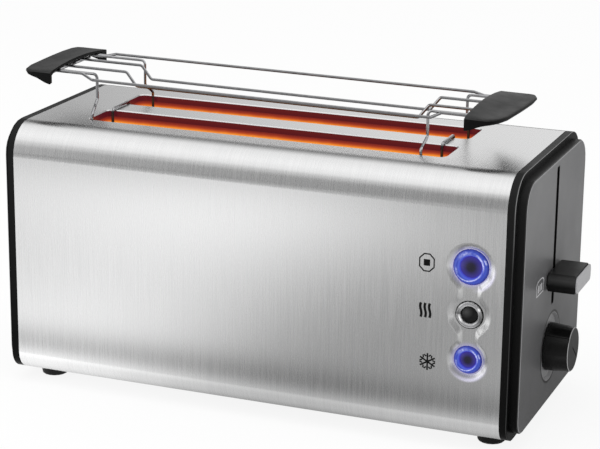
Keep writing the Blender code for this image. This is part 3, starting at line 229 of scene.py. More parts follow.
class Paint:
    """The node chains that the materials, the floor and the room share."""

    def __init__(self, tree, coordinates="Object"):
        self.nodes = tree.nodes
        self.links = tree.links
        self.place = self.nodes.new("ShaderNodeTexCoord").outputs[coordinates]

    def put(self, socket, value):
        """Link a value to a socket, or set the socket to a number or a colour."""
        if isinstance(value, bpy.types.NodeSocket):
            self.links.new(value, socket)
        elif isinstance(value, tuple):
            socket.default_value = (*value, 1)
        else:
            socket.default_value = value

    def maths(self, operation, first, second=0.0):
        step = self.nodes.new("ShaderNodeMath")
        step.operation = operation
        self.put(step.inputs[0], first)
        self.put(step.inputs[1], second)
        return step.outputs["Value"]

    def times(self, first, *others):
        for other in others:
            first = self.maths("MULTIPLY", first, other)
        return first

    def most(self, first, *others):
        for other in others:
            first = self.maths("MAXIMUM", first, other)
        return first

    def mix(self, share, low, high):
        both = self.nodes.new("ShaderNodeMix")
        both.data_type = "RGBA"
        self.put(both.inputs[0], share)
        self.put(both.inputs[6], low)
        self.put(both.inputs[7], high)
        return both.outputs[2]

    def sweep(self, value, low, high, to_low=0.0, to_high=1.0, smooth=False):
        """Carry a value from one span to another, held at the ends."""
        step = self.nodes.new("ShaderNodeMapRange")
        if smooth:
            step.interpolation_type = "SMOOTHSTEP"
        self.put(step.inputs["Value"], value)
        self.put(step.inputs["From Min"], low)
        self.put(step.inputs["From Max"], high)
        self.put(step.inputs["To Min"], to_low)
        self.put(step.inputs["To Max"], to_high)
        return step.outputs["Result"]

    def band(self, value, out_low, in_low, in_high, out_high):
        """1 between the two inner limits, 0 beyond the two outer ones."""
        return self.times(self.sweep(value, out_low, in_low),
                          self.sweep(value, out_high, in_high))

    def hill(self, value, middle, reach):
        """1 at the middle of a span, falling softly to 0 at its two ends."""
        away = self.maths("ABSOLUTE", self.maths("SUBTRACT", value, middle))
        return self.sweep(away, 0.0, reach, 1.0, 0.0, smooth=True)

    def ramp(self, value, stops, ease=False):
        bands = self.nodes.new("ShaderNodeValToRGB")
        if ease:
            bands.color_ramp.interpolation = "EASE"
        line = bands.color_ramp.elements
        while len(line) < len(stops):
            line.new(0.5)
        for element, (place, colour) in zip(line, stops):
            element.position = place
            element.color = (*colour, 1)
        self.links.new(value, bands.inputs["Fac"])
        return bands.outputs["Color"]

    def bands(self, value, stops):
        """Grey tones at places along a value, with soft passages between them."""
        first, last = stops[0][0], stops[-1][0]
        shares = greys(*(((place - first) / (last - first), tone) for place, tone in stops))
        return self.ramp(self.sweep(value, first, last), shares, ease=True)

    def along(self, axis):
        split = self.nodes.new("ShaderNodeSeparateXYZ")
        self.links.new(self.place, split.inputs["Vector"])
        return split.outputs[axis]

    def offsets(self, centre, axes):
        return [self.maths("SUBTRACT", self.along(axis), centre["XYZ".index(axis)])
                for axis in axes]

    def radius(self, centre, axes="XZ"):
        """Distance from a centre, measured in the plane of two axes."""
        across, up = self.offsets(centre, axes)
        return self.maths("SQRT", self.maths("ADD", self.times(across, across),
                                             self.times(up, up)))

    def turn(self, centre, axes="XZ"):
        """Degrees round a centre in the plane of two axes, counted from the first."""
        across, up = self.offsets(centre, axes)
        return self.maths("DEGREES", self.maths("ARCTAN2", up, across))


class Finish(Paint):
    """A Principled material, with plain values that stand where no node chain replaces them."""

    def __init__(self, name, colour, roughness, metallic=0.0, shine=0.5):
        self.made = bpy.data.materials.new(name)
        self.made.use_nodes = True
        super().__init__(self.made.node_tree)
        self.shader = self.nodes["Principled BSDF"]
        self.set("Base Color", colour)
        self.set("Roughness", roughness)
        self.set("Metallic", metallic)
        self.set("Specular IOR Level", shine)

    def set(self, socket, value):
        self.put(self.shader.inputs[socket], value)

    def grain(self, scale, stretch=(1, 1, 1), detail=3, roughness=0.55):
        """Noise in object space, drawn out along the axes with a small stretch."""
        turn = self.nodes.new("ShaderNodeMapping")
        turn.inputs["Scale"].default_value = stretch
        self.links.new(self.place, turn.inputs["Vector"])
        noise = self.nodes.new("ShaderNodeTexNoise")
        noise.inputs["Scale"].default_value = scale
        noise.inputs["Detail"].default_value = detail
        noise.inputs["Roughness"].default_value = roughness
        self.links.new(turn.outputs["Vector"], noise.inputs["Vector"])
        return noise.outputs["Fac"]

    def spread(self, noise, low=0.0, high=1.0):
        """A noise carried to a span."""
        return self.sweep(noise, NOISE_LOW, NOISE_HIGH, low, high)

    def upward(self):
        """The upward share of the surface's normal: 1 on a top, 0 on a wall, -1 underneath."""
        split = self.nodes.new("ShaderNodeSeparateXYZ")
        normal = self.nodes.new("ShaderNodeNewGeometry").outputs["Normal"]
        self.links.new(normal, split.inputs["Vector"])
        return split.outputs["Z"]

    def outward(self):
        """Distance from the housing's middle along X."""
        return self.maths("ABSOLUTE", self.maths("SUBTRACT", self.along("X"), HOUSING_MIDDLE_X))

    def glow(self, colour, strength=1.0):
        self.set("Emission Color", colour)
        self.set("Emission Strength", strength)

    def mould_grain(self, strength=0.05):
        """The fine grain that a spark-eroded mould leaves."""
        step = self.nodes.new("ShaderNodeBump")
        step.inputs["Strength"].default_value = strength
        step.inputs["Distance"].default_value = MOULD_GRAIN_DEPTH
        self.links.new(self.grain(MOULD_GRAIN, detail=2), step.inputs["Height"])
        self.set("Normal", step.outputs["Normal"])


# Brushed steel

STEEL_TONE = grey(0.80)
STEEL_FINE_TONES = ((0.755, 0.757, 0.76), (0.845, 0.845, 0.845))
STEEL_ROUGHNESS = (0.24, 0.29)
BRUSH_FINE = 1700
BRUSH_FINE_DRAWN = (1, 0.017, 0.017)
BRUSH_FINE_SPREAD = (0.32, 0.68)
BRUSH_BROAD = 420
BRUSH_BROAD_DRAWN = (1, 0.03, 0.03)
BRUSH_BROAD_SHARE = 0.3
BRUSH_SMEAR = 0.8
ACROSS_THE_BRUSHING = 0.25
# Painted shade, tinted red, and a faint painted glow of the ribbons' light on the turned-in lips
# of the bread slots.
LIP_PAINTED_SHADE = (0.07, 0.03, 0.035)
LIP_PAINTED_GLOW = (0.075, 0.007, 0.012)
# How far past a bread slot's side its lip may lie, and how deep below the chamfer it begins.
LIP_SLACK = (0.0010, 0.0004)
LIP_DEPTHS = (BREAD_SLOT_CHAMFER, BREAD_SLOT_CHAMFER * 1.4)
# How far behind the front's outermost face the rings' light still falls.
FRONT_SKIN = (0.004, 0.003)
# The light that a lit ring throws on the steel close by.
HALO_GLOW = (0.075, 0.06, 0.26)
HALO_REACH = 0.0036
HALO_FALL = 1.5
# What it throws on the recess's lower wall: how far out, how wide, and where round the ring.
WALL_GLOW = (0.34, 0.32, 0.46)
WALL_AWAY = 0.0044
WALL_REACH = 0.0022
WALL_TURN = {"stop": (-36, 56), "defrost": (-80, 86)}


def brushed_steel():
    """Sheet brushed round the housing: up the front, over the top and down the back."""
    steel = Finish("brushed_steel", STEEL_TONE, 0.27, metallic=1.0)
    fine = steel.grain(BRUSH_FINE, BRUSH_FINE_DRAWN, detail=2, roughness=0.6)
    broad = steel.grain(BRUSH_BROAD, BRUSH_BROAD_DRAWN, detail=2)
    tone = steel.mix(steel.sweep(fine, *BRUSH_FINE_SPREAD), *STEEL_FINE_TONES)
    tone = steel.mix(steel.spread(broad, 0.0, BRUSH_BROAD_SHARE), tone, STEEL_TONE)
    # The slots' lips take painted shade and a painted glow.
    lip_shade_and_glow = inside_slots(steel)
    steel.set("Base Color", steel.mix(lip_shade_and_glow, tone, LIP_PAINTED_SHADE))
    steel.set("Roughness", steel.spread(fine, *STEEL_ROUGHNESS))
    steel.set("Anisotropic", BRUSH_SMEAR)
    steel.set("Anisotropic Rotation", ACROSS_THE_BRUSHING)
    around = steel.nodes.new("ShaderNodeTangent")
    around.direction_type = "RADIAL"
    around.axis = "X"
    steel.set("Tangent", around.outputs["Tangent"])
    halos, walls = [], []
    for name in LIT_NAMES:
        centre, radius = ring_place(name)
        away = steel.radius(centre)
        near = steel.sweep(away, radius, radius + HALO_REACH, 1.0, 0.0)
        halos.append(steel.maths("POWER", near, HALO_FALL))
        walls.append(steel.times(steel.hill(away, radius + WALL_AWAY, WALL_REACH),
                                 steel.hill(steel.turn(centre), *WALL_TURN[name])))
    front = steel.sweep(steel.along("Y"), *(FRONT_Y + depth for depth in FRONT_SKIN))
    glow = steel.mix(lip_shade_and_glow, BLACK, LIP_PAINTED_GLOW)
    glow = steel.mix(steel.times(steel.most(*walls), front), glow, WALL_GLOW)
    steel.glow(steel.mix(steel.times(steel.most(*halos), front), glow, HALO_GLOW))
    return steel.made


def inside_slots(steel):
    """1 on the turned-in lips of the two bread slots, 0 on the rest of the housing."""
    from_middle = steel.maths("SUBTRACT", steel.maths("ABSOLUTE", steel.along("Y")), BREAD_SLOT_Y)
    within = steel.sweep(steel.maths("ABSOLUTE", from_middle),
                         *(BREAD_SLOT_HALF + slack for slack in LIP_SLACK))
    below = steel.sweep(steel.along("Z"), *(TOP_Z - depth for depth in LIP_DEPTHS))
    return steel.times(within, below)


# Plastics

MOULDED_CLOUD = 28
MOULDED_SWING = 0.04
PANEL_CLOUD = 24


def moulded(name, colour, roughness, speckle=0.012, bump=0.05, shine=0.4):
    """Moulded plastic with a fine spark-eroded grain."""
    plastic = Finish(name, colour, roughness, shine=shine)
    cloud = plastic.grain(MOULDED_CLOUD, detail=4)
    low = tuple(max(c - speckle, 0.0) for c in colour)
    high = tuple(c + speckle for c in colour)
    plastic.set("Base Color", plastic.mix(plastic.spread(cloud), low, high))
    plastic.set("Roughness", plastic.spread(cloud, roughness - MOULDED_SWING,
                                             roughness + MOULDED_SWING))
    plastic.mould_grain(bump)
    return plastic.made


# The panel's grey with painted light, paler toward its top, by the share of its height.
PANEL_PAINTED_LIGHT_TONES = ((0.0, grey(0.072, 0.002)), (0.35, grey(0.088, 0.002)),
               (0.65, grey(0.118, 0.003)), (1.0, grey(0.185, 0.004)))
PANEL_FLECK = grey(0.19, 0.005)
PANEL_FLECK_SCALE = 1500
PANEL_FLECK_SHARE = 0.3
# The painted highlight on the panel's rounded edge and the painted shade under it, as depths below
# its face.
EDGE_PAINTED_HIGHLIGHT = grey(0.36, 0.005)
EDGE_LINE_TOP = (0.00025, 0.00005)
EDGE_LINE_FOOT = (0.0005, 0.0003)
EDGE_PAINTED_SHADE = grey(0.02)
PANEL_ROUGHNESS = (0.34, 0.42)
# Painted shade in the lever slot and on a narrow border round it.
LEVER_SLOT_PAINTED_SHADE = grey(0.002)
LEVER_SLOT_SLACK = (0.0004, 0.0001)
DISH_STROKES = 14000
DISH_TONES = (grey(0.22, 0.005), grey(0.32, 0.005))
# A painted shadow line round the dial's dish.
DISH_PAINTED_SHADOW_LINE = grey(0.005)
DISH_LINE_IN = (0.0001, 0.0003)
DISH_LINE_OUT = (0.0021, 0.0018)


def panel_plastic(name, face, shine):
    """Graphite panel, paler toward its top by painted light, with a painted highlight on its edge
    over a line of painted shade, painted shade in and round the lever slot, and a ringed dial dish
    inside a painted shadow line.
    """
    plastic = Finish(name, grey(0.07, 0.003), 0.34, shine=shine)
    outward = plastic.outward()
    height = plastic.along("Z")
    tone = plastic.ramp(plastic.sweep(height, cap_low.z, cap_high.z), PANEL_PAINTED_LIGHT_TONES)
    fleck = plastic.spread(plastic.grain(PANEL_FLECK_SCALE, detail=2), 0.0, PANEL_FLECK_SHARE)
    tone = plastic.mix(fleck, tone, PANEL_FLECK)
    for (deep, shallow), under in ((EDGE_LINE_TOP, EDGE_PAINTED_HIGHLIGHT), (EDGE_LINE_FOOT, EDGE_PAINTED_SHADE)):
        tone = plastic.mix(plastic.sweep(outward, face - deep, face - shallow), under, tone)
    right = plastic.sweep(plastic.along("X"), 0.0, cap_low.x)
    slack_out, slack_in = LEVER_SLOT_SLACK
    beside = plastic.sweep(plastic.maths("ABSOLUTE", plastic.along("Y")),
                           LEVER_SLOT_HALF + slack_out, LEVER_SLOT_HALF + slack_in)
    within = plastic.band(height, LEVER_SLOT_LOW - slack_out, LEVER_SLOT_LOW,
                          LEVER_SLOT_HIGH, LEVER_SLOT_HIGH + slack_out)
    tone = plastic.mix(plastic.times(beside, within, right), tone, LEVER_SLOT_PAINTED_SHADE)
    away = plastic.radius(DIAL_MIDDLE, "YZ")
    turned = plastic.maths("SINE", plastic.times(away, DISH_STROKES))
    floor = plastic.mix(plastic.sweep(turned, -1, 1), *DISH_TONES)
    floor = plastic.mix(plastic.sweep(away, *(DISH_RADIUS + out for out in DISH_LINE_IN)),
                        floor, DISH_PAINTED_SHADOW_LINE)
    dish = plastic.sweep(away, *(DISH_RADIUS + out for out in DISH_LINE_OUT))
    plastic.set("Base Color", plastic.mix(plastic.times(dish, right), tone, floor))
    cloud = plastic.grain(PANEL_CLOUD, detail=4)
    plastic.set("Roughness", plastic.spread(cloud, *PANEL_ROUGHNESS))
    plastic.mould_grain()
    return plastic.made


# Painted light on the flanges: sides a little paler toward the top, a painted highlight high on
# the outer face and a fainter one on the edge under it.
FLANGE_SIDE_PAINTED_LIGHT_TONES = greys((0.0, 0.004), (0.70, 0.010), (1.0, 0.016))
FLANGE_FACE_FOOT = ((0.0, 0.006), (0.66, 0.008))
FLANGE_HIGHLIGHT_FROM = 0.90
FLANGE_EDGE_HIGHLIGHT_SHARE = 0.2
FLANGE_ROUGHNESS = (0.28, 0.36)
# Bands along X, counted outwards from FLANGE_FACE: the outer face itself and the edge under it.
FLANGE_FACE_BAND = (-0.0003, -0.0001, 0.0001, 0.0003)
FLANGE_EDGE_BAND = (-0.0007, -0.0005, -0.0003, -0.0001)


def flange_plastic(name, painted_highlight):
    """Black moulded flange, its sides a little paler toward the top by painted light; the argument
    is the tone of a painted highlight high up on its outer face, and a share of it is painted on
    the edge under it.
    """
    plastic = Finish(name, grey(0.006), 0.32, shine=0.04)
    outward = plastic.outward()
    height = plastic.sweep(plastic.along("Z"), cap_low.z, cap_high.z)
    side = plastic.ramp(height, FLANGE_SIDE_PAINTED_LIGHT_TONES)
    face = plastic.ramp(height, greys(*FLANGE_FACE_FOOT, (FLANGE_HIGHLIGHT_FROM, painted_highlight), (1.0, painted_highlight)))
    on_face = plastic.band(outward, *(FLANGE_FACE + out for out in FLANGE_FACE_BAND))
    edge = plastic.band(outward, *(FLANGE_FACE + out for out in FLANGE_EDGE_BAND))
    tone = plastic.mix(on_face, side, face)
    plastic.set("Base Color", plastic.mix(edge, tone, grey(painted_highlight * FLANGE_EDGE_HIGHLIGHT_SHARE)))
    cloud = plastic.grain(PANEL_CLOUD, detail=4)
    plastic.set("Roughness", plastic.spread(cloud, *FLANGE_ROUGHNESS))
    return plastic.made


DIAL_CLOUD = 90
DIAL_FACE_TONES = (grey(0.026, 0.001), grey(0.036, 0.001))
DIAL_SIDE_TONE = grey(0.006)
DIAL_RIM_PAINTED_HIGHLIGHT = grey(0.42)
DIAL_RIM_WIDTH = 0.0002
# Depths below the dial's face: where its painted highlight rim begins, its grey begins, its gloss
# ends.
DIAL_RIM_DEPTHS = (0.0001, 0.0003)
DIAL_GREY_DEPTHS = (0.0007, 0.0005)
DIAL_GLOSS_DEPTHS = (0.0008, 0.0006)
DIAL_ROUGHNESS = (0.20, 0.45)


def dial_plastic():
    """Gloss black sides, a matt dark face and a painted highlight on the edge between them."""
    plastic = Finish("dial_plastic", grey(0.01), 0.22, shine=0.25)
    depth = plastic.maths("SUBTRACT", DIAL_FACE, plastic.along("X"))
    face = plastic.mix(plastic.spread(plastic.grain(DIAL_CLOUD)), *DIAL_FACE_TONES)
    rim_highlight = plastic.times(plastic.sweep(depth, *DIAL_RIM_DEPTHS),
                        plastic.sweep(plastic.radius(DIAL_MIDDLE, "YZ"),
                                      DIAL_RIM - DIAL_RIM_WIDTH, DIAL_RIM))
    face = plastic.mix(rim_highlight, face, DIAL_RIM_PAINTED_HIGHLIGHT)
    at_face = plastic.sweep(depth, *DIAL_GREY_DEPTHS)
    plastic.set("Base Color", plastic.mix(at_face, DIAL_SIDE_TONE, face))
    plastic.set("Roughness", plastic.sweep(depth, *DIAL_GLOSS_DEPTHS, *DIAL_ROUGHNESS))
    return plastic.made


KNOB_CLOUD = 90
KNOB_ROUGHNESS = (0.32, 0.40)
# Painted highlight: a pale band over the upper half of the knob's front, darker again on its top.
KNOB_PAINTED_HIGHLIGHT_TONES = greys((0.0, 0.002), (0.40, 0.003), (0.74, 0.050), (0.90, 0.030), (1.0, 0.007))


def knob_plastic():
    """Black knob plastic with a painted highlight: a soft pale band over the upper half of its
    front.
    """
    low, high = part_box("lever_knob")
    plastic = Finish("knob_plastic", grey(0.006), 0.36, shine=0.2)
    height = plastic.sweep(plastic.along("Z"), low.z, high.z)
    plastic.set("Base Color", plastic.ramp(height, KNOB_PAINTED_HIGHLIGHT_TONES))
    plastic.set("Roughness", plastic.spread(plastic.grain(KNOB_CLOUD), *KNOB_ROUGHNESS))
    plastic.mould_grain()
    return plastic.made


# Painted light and shade on the handles: tops paler toward the rack's middle, painted shade in the
# finger dish and on the walls.
HANDLE_TOP_PAINTED_LIGHT = (grey(0.024), grey(0.008))
HANDLE_DISH_PAINTED_SHADE = grey(0.003)
HANDLE_DISH_SHIFT = 0.12
HANDLE_DISH_FLOOR = 0.004
HANDLE_DISH_REACH = 0.020
HANDLE_DISH_SHARE = 0.8
HANDLE_CLOUD = 120
HANDLE_ROUGHNESS = (0.34, 0.42)
HANDLE_WALL_PAINTED_SHADE = grey(0.002)
# The upward share of the normal at which a handle's wall, which takes painted shade, ends and its
# top begins.
HANDLE_TOP_TURN = (0.45, 0.75)


def handle_plastic(name, node):
    """Matt handle plastic with painted light: paler toward the middle of the rack, painted shade
    in its finger dish and on its walls.
    """
    low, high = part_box(node)
    middle = (low + high) / 2
    plastic = Finish(name, grey(0.01), 0.38, shine=0.16)
    inner, outer = (low.x, high.x) if middle.x > 0 else (high.x, low.x)
    tone = plastic.mix(plastic.sweep(plastic.along("X"), inner, outer), *HANDLE_TOP_PAINTED_LIGHT)
    dish = middle + Vector(((outer - inner) * HANDLE_DISH_SHIFT, 0, 0))
    within = plastic.sweep(plastic.radius(dish, "XY"), HANDLE_DISH_FLOOR, HANDLE_DISH_REACH,
                           HANDLE_DISH_SHARE, 0.0, smooth=True)
    tone = plastic.mix(within, tone, HANDLE_DISH_PAINTED_SHADE)
    top = plastic.sweep(plastic.upward(), *HANDLE_TOP_TURN)
    plastic.set("Base Color", plastic.mix(top, HANDLE_WALL_PAINTED_SHADE, tone))
    plastic.set("Roughness", plastic.spread(plastic.grain(HANDLE_CLOUD), *HANDLE_ROUGHNESS))
    plastic.mould_grain()
    return plastic.made


# Wire, sheet and ink

WIRE_TONES = (grey(0.34, 0.01), grey(0.58, 0.01))
# Painted shade on the wires' undersides and where they stand in a slot.
WIRE_PAINTED_SHADE = grey(0.03, 0.002)
# The upward shares of the normal between which painted shade comes over an underside, and how
# strong it gets.
WIRE_UNDER = (0.10, -0.55, 0.0, 0.9)
# How far over and under the housing's top a wire loses its shine and takes painted shade.
WIRE_SLOT = (0.0006, -0.0004)
WIRE_WEAR = 300
WIRE_ROUGHNESS = (0.10, 0.20)
ZINC_SPANGLE = 120
ZINC_TONES = ((0.36, 0.37, 0.38), (0.56, 0.57, 0.58))
ZINC_ROUGHNESS = (0.32, 0.5)
INK_PATCH = 900
INK_ROUGHNESS = (0.38, 0.52)


def polished_wire():
    """Bright bent wire with painted shade on its undersides, and painted shade without metal shine
    where it stands in a slot.
    """
    wire = Finish("polished_wire", grey(0.42, 0.01), 0.14, metallic=1.0)
    wear = wire.grain(WIRE_WEAR)
    wire.set("Roughness", wire.spread(wear, *WIRE_ROUGHNESS))
    under = wire.sweep(wire.upward(), *WIRE_UNDER)
    low = wire.sweep(wire.along("Z"), *(TOP_Z + up for up in WIRE_SLOT))
    wire.set("Metallic", wire.sweep(low, 0.0, 1.0, 1.0, 0.0))
    wire.set("Base Color", wire.mix(wire.most(under, low), wire.mix(wear, *WIRE_TONES), WIRE_PAINTED_SHADE))
    return wire.made


def zinc_sheet():
    zinc = Finish("zinc_sheet", (0.45, 0.46, 0.47), 0.4, metallic=1.0)
    spangle = zinc.grain(ZINC_SPANGLE, detail=5)
    zinc.set("Base Color", zinc.mix(spangle, *ZINC_TONES))
    zinc.set("Roughness", zinc.spread(spangle, *ZINC_ROUGHNESS))
    return zinc.made


def printed(name, colour, shine):
    """Printing ink, a little rougher in patches."""
    ink = Finish(name, colour, 0.45, shine=shine)
    ink.set("Roughness", ink.spread(ink.grain(INK_PATCH, detail=2), *INK_ROUGHNESS))
    return ink.made


# What glows

HOT_SURFACE = (0.02, 0.008, 0.006)
HOT_SURFACE_SHARE = 0.12
HOT_PATCH = 60
HOT_PATCH_DRAWN = (1, 1, 0.4)
HOT_PATCH_SHIFT = 0.012
# The glow's colours over the height of each piece, from its foot to its top: painted light from
# the ribbons on the liners and guides, the ribbons' own glow on the heater boards.
LINER_HEIGHTS = (0.172, 0.1955)
LINER_PAINTED_GLOW = (
    (0.0, (0.14, 0.025, 0.006)), (0.60, (0.18, 0.035, 0.008)), (0.74, (0.95, 0.42, 0.05)),
    (0.79, (0.85, 0.25, 0.025)), (0.84, (0.52, 0.085, 0.015)), (0.89, (0.29, 0.028, 0.012)),
    (0.95, (0.16, 0.013, 0.012)), (1.0, (0.10, 0.009, 0.013)))
GUIDE_HEIGHTS = (0.06, 0.172)
GUIDE_PAINTED_GLOW = ((0.0, (0.4, 0.09, 0.02)), (1.0, (0.9, 0.40, 0.10)))
BOARD_HEIGHTS = (0.048, 0.173)
BOARD_HEAT = ((0.0, (0.6, 0.14, 0.03)), (0.6, (0.9, 0.30, 0.06)), (1.0, (1.0, 0.48, 0.12)))


def glowing(name, heights, stops, strength):
    """Sheet lit by the ribbons: its colour and glow follow its height; on the liners and guides
    the glow is painted light, on the heater boards the ribbons' own.
    """
    hot = Finish(name, (0.25, 0.12, 0.08), 0.5)
    height = hot.sweep(hot.along("Z"), *heights)
    patch = hot.grain(HOT_PATCH, HOT_PATCH_DRAWN, detail=4)
    shift = hot.spread(patch, -HOT_PATCH_SHIFT, HOT_PATCH_SHIFT)
    glow_colour = hot.ramp(hot.maths("ADD", height, shift), stops)
    hot.set("Base Color", hot.mix(HOT_SURFACE_SHARE, HOT_SURFACE, glow_colour))
    hot.glow(glow_colour, strength)
    return hot.made


# Colours from a lit ring's middle to its rim, by the share of its radius.
LIT_RING_TONES = (
    (0.0, (0.02, 0.014, 0.20)), (0.58, (0.022, 0.016, 0.20)), (0.63, (0.045, 0.05, 0.36)),
    (0.70, (0.05, 0.085, 0.36)), (0.78, (0.018, 0.032, 0.20)), (0.86, (0.028, 0.055, 0.26)),
    (0.91, (0.016, 0.038, 0.21)), (0.95, (0.004, 0.010, 0.08)), (1.0, (0.004, 0.010, 0.09)))
# The colour of the painted highlight arcs on a lit ring.
LIT_RING_PAINTED_HIGHLIGHT = (0.80, 0.84, 1.0)
RING_LEAN = Vector((-0.13, 0, 0))
RING_CLOUD = 420
RING_CLOUD_SHIFT = (-0.02, 0.02)
ARC_GRAIN = 700
ARC_BREAKS = (0.36, 0.58, 0.25, 1.0)
# Painted highlight arcs: degrees round the ring and their reach, share of the radius and its
# reach, strength.
LEANING_HIGHLIGHT_ARCS = ((34, 58, 0.84, 0.10, 1.0), (-92, 96, 0.775, 0.06, 0.85))
ROUND_HIGHLIGHT_ARCS = ((24, 15, 0.90, 0.07, 1.0), (118, 46, 0.80, 0.15, 0.45), (-165, 18, 0.84, 0.10, 0.45))
KEY_TONES = ((0.0, (0.004, 0.003, 0.012)), (0.22, (0.007, 0.005, 0.022)),
             (0.44, (0.026, 0.018, 0.17)), (0.56, (0.03, 0.02, 0.25)))


def ring_share(finish, name, shift=Vector((0, 0, 0))):
    """Distance from a ring's middle, or from a place shifted by shares, over its radius."""
    centre, radius = ring_place(name)
    return finish.maths("DIVIDE", finish.radius(centre + shift * radius), radius)


def arcs(finish, turn, share, places):
    """The strongest of several soft painted highlight arcs round a ring."""
    return finish.most(*(finish.times(finish.hill(turn, at, reach),
                                      finish.hill(share, radius, width), strength)
                         for at, reach, radius, width, strength in places))


def lit_ring(name):
    """Clear blue moulding lit from inside: dark at its rim, violet where it meets the key, with
    painted highlight arcs on it.
    """
    ring = Finish(name + "_ring_glow", (0.02, 0.03, 0.25), 0.07)
    cloud = ring.spread(ring.grain(RING_CLOUD), *RING_CLOUD_SHIFT)
    share = ring.maths("ADD", ring_share(ring, name), cloud)
    turn = ring.turn(ring_place(name)[0])
    highlight = ring.most(arcs(ring, turn, ring_share(ring, name, RING_LEAN), LEANING_HIGHLIGHT_ARCS),
                     arcs(ring, turn, share, ROUND_HIGHLIGHT_ARCS))
    broken = ring.sweep(ring.grain(ARC_GRAIN, detail=2), *ARC_BREAKS)
    ring.glow(ring.mix(ring.times(highlight, broken), ring.ramp(share, LIT_RING_TONES), LIT_RING_PAINTED_HIGHLIGHT))
    return ring.made


def lit_key(name):
    """The key inside a lit ring: blue at its edge, black in the middle."""
    key = Finish(name + "_key_glow", (0.006, 0.006, 0.012), 0.25)
    key.glow(key.ramp(ring_share(key, name), KEY_TONES))
    return key.made


# The unlit button

DOME_LIGHT = Vector((-0.22, 0, 0.22))
# Painted highlight on the unlit key, by the share of its radius from a place up and left of its
# middle.
DOME_PAINTED_HIGHLIGHT_TONES = greys((0.0, 0.055), (0.16, 0.038), (0.5, 0.006))
# Painted reflections on the unlit ring: light and dark bands by the share of its radius.
CLEAR_RING_PAINTED_REFLECTION_TONES = (
    (0.0, grey(0.01)), (0.585, grey(0.012)), (0.62, grey(0.35, 0.01)), (0.72, grey(0.72, 0.01)),
    (0.82, grey(0.38, 0.01)), (0.88, grey(0.62, 0.01)), (0.935, grey(0.30)), (0.96, grey(0.01)))
CLEAR_RING_CLOUD = 520
CLEAR_RING_CLOUD_SHIFT = (-0.03, 0.03)
CLEAR_RING_SHADES = ((-15, 60), (175, 40))
CLEAR_RING_SHADE_SHARE = 0.7
CLEAR_RING_SHADE_TONE = grey(0.03)
CLEAR_RING_GLINTS = ((34, 14, 0.84, 0.10, 1.0), (-152, 30, 0.72, 0.10, 1.0))
CLEAR_RING_GLINT_TONE = grey(0.95)
CLEAR_RING_GLINT_GLOW = grey(0.5)


def domed_key():
    """The unlit key: black, with a soft painted highlight at its upper left."""
    key = Finish("domed_key", grey(0.012), 0.3, shine=0.25)
    key.set("Base Color", key.ramp(ring_share(key, "reheat", DOME_LIGHT), DOME_PAINTED_HIGHLIGHT_TONES))
    return key.made


def clear_ring():
    """Unlit clear moulding over bright metal, light and dark by turns round the key in painted
    reflections, with painted shade and painted glints.
    """
    ring = Finish("clear_ring", (0.45, 0.46, 0.48), 0.12, metallic=0.6)
    cloud = ring.spread(ring.grain(CLEAR_RING_CLOUD), *CLEAR_RING_CLOUD_SHIFT)
    share = ring.maths("ADD", ring_share(ring, "reheat"), cloud)
    turn = ring.turn(ring_place("reheat")[0])
    shade = ring.most(*(ring.hill(turn, *place) for place in CLEAR_RING_SHADES))
    metal = ring.mix(ring.times(shade, CLEAR_RING_SHADE_SHARE),
                     ring.ramp(share, CLEAR_RING_PAINTED_REFLECTION_TONES), CLEAR_RING_SHADE_TONE)
    glint = arcs(ring, turn, share, CLEAR_RING_GLINTS)
    ring.set("Base Color", ring.mix(glint, metal, CLEAR_RING_GLINT_TONE))
    ring.glow(ring.mix(glint, BLACK, CLEAR_RING_GLINT_GLOW))
    return ring.made


# The toaster's pieces

STEEL = brushed_steel()
PANEL = panel_plastic("panel_plastic", PANEL_FACE, shine=0.3)
LEFT_PANEL = panel_plastic("left_panel_plastic", LEFT_PANEL_FACE, shine=0.08)
FLANGE = flange_plastic("flange_plastic", painted_highlight=0.26)
LEFT_FLANGE = flange_plastic("left_flange_plastic", painted_highlight=0.006)
PALE = moulded("pale_plastic", grey(0.42, 0.01), 0.35, speckle=0.02)
RUBBER = moulded("foot_rubber", grey(0.006), 0.5, speckle=0.002, bump=0.2, shine=0.25)
WIRE = polished_wire()
ZINC = zinc_sheet()
HOT_LINER = glowing("hot_liner", LINER_HEIGHTS, LINER_PAINTED_GLOW, strength=1.0)
HOT_GUIDE = glowing("hot_guide", GUIDE_HEIGHTS, GUIDE_PAINTED_GLOW, strength=0.4)
HOT_BOARD = glowing("hot_board", BOARD_HEIGHTS, BOARD_HEAT, strength=0.35)
GREEN_BOARD = moulded("circuit_board", (0.03, 0.16, 0.07), 0.5, speckle=0.01)
INK = printed("printed_ink", grey(0.004), shine=0.15)
PALE_INK = printed("pale_ink", grey(0.62, 0.01), shine=0.5)

# Round edges, for refine: width, from how many degrees, how many segments.
CAP_EDGE = (0.0005, 28)
HANDLE_EDGE = (0.0007, 38, 3)
KNOB_EDGE = (0.0006, 50, 3)
END_PLATE_EDGE = (0.0003, 50)
DIAL_EDGE = 0.0003
KEY_EDGE = 0.0002

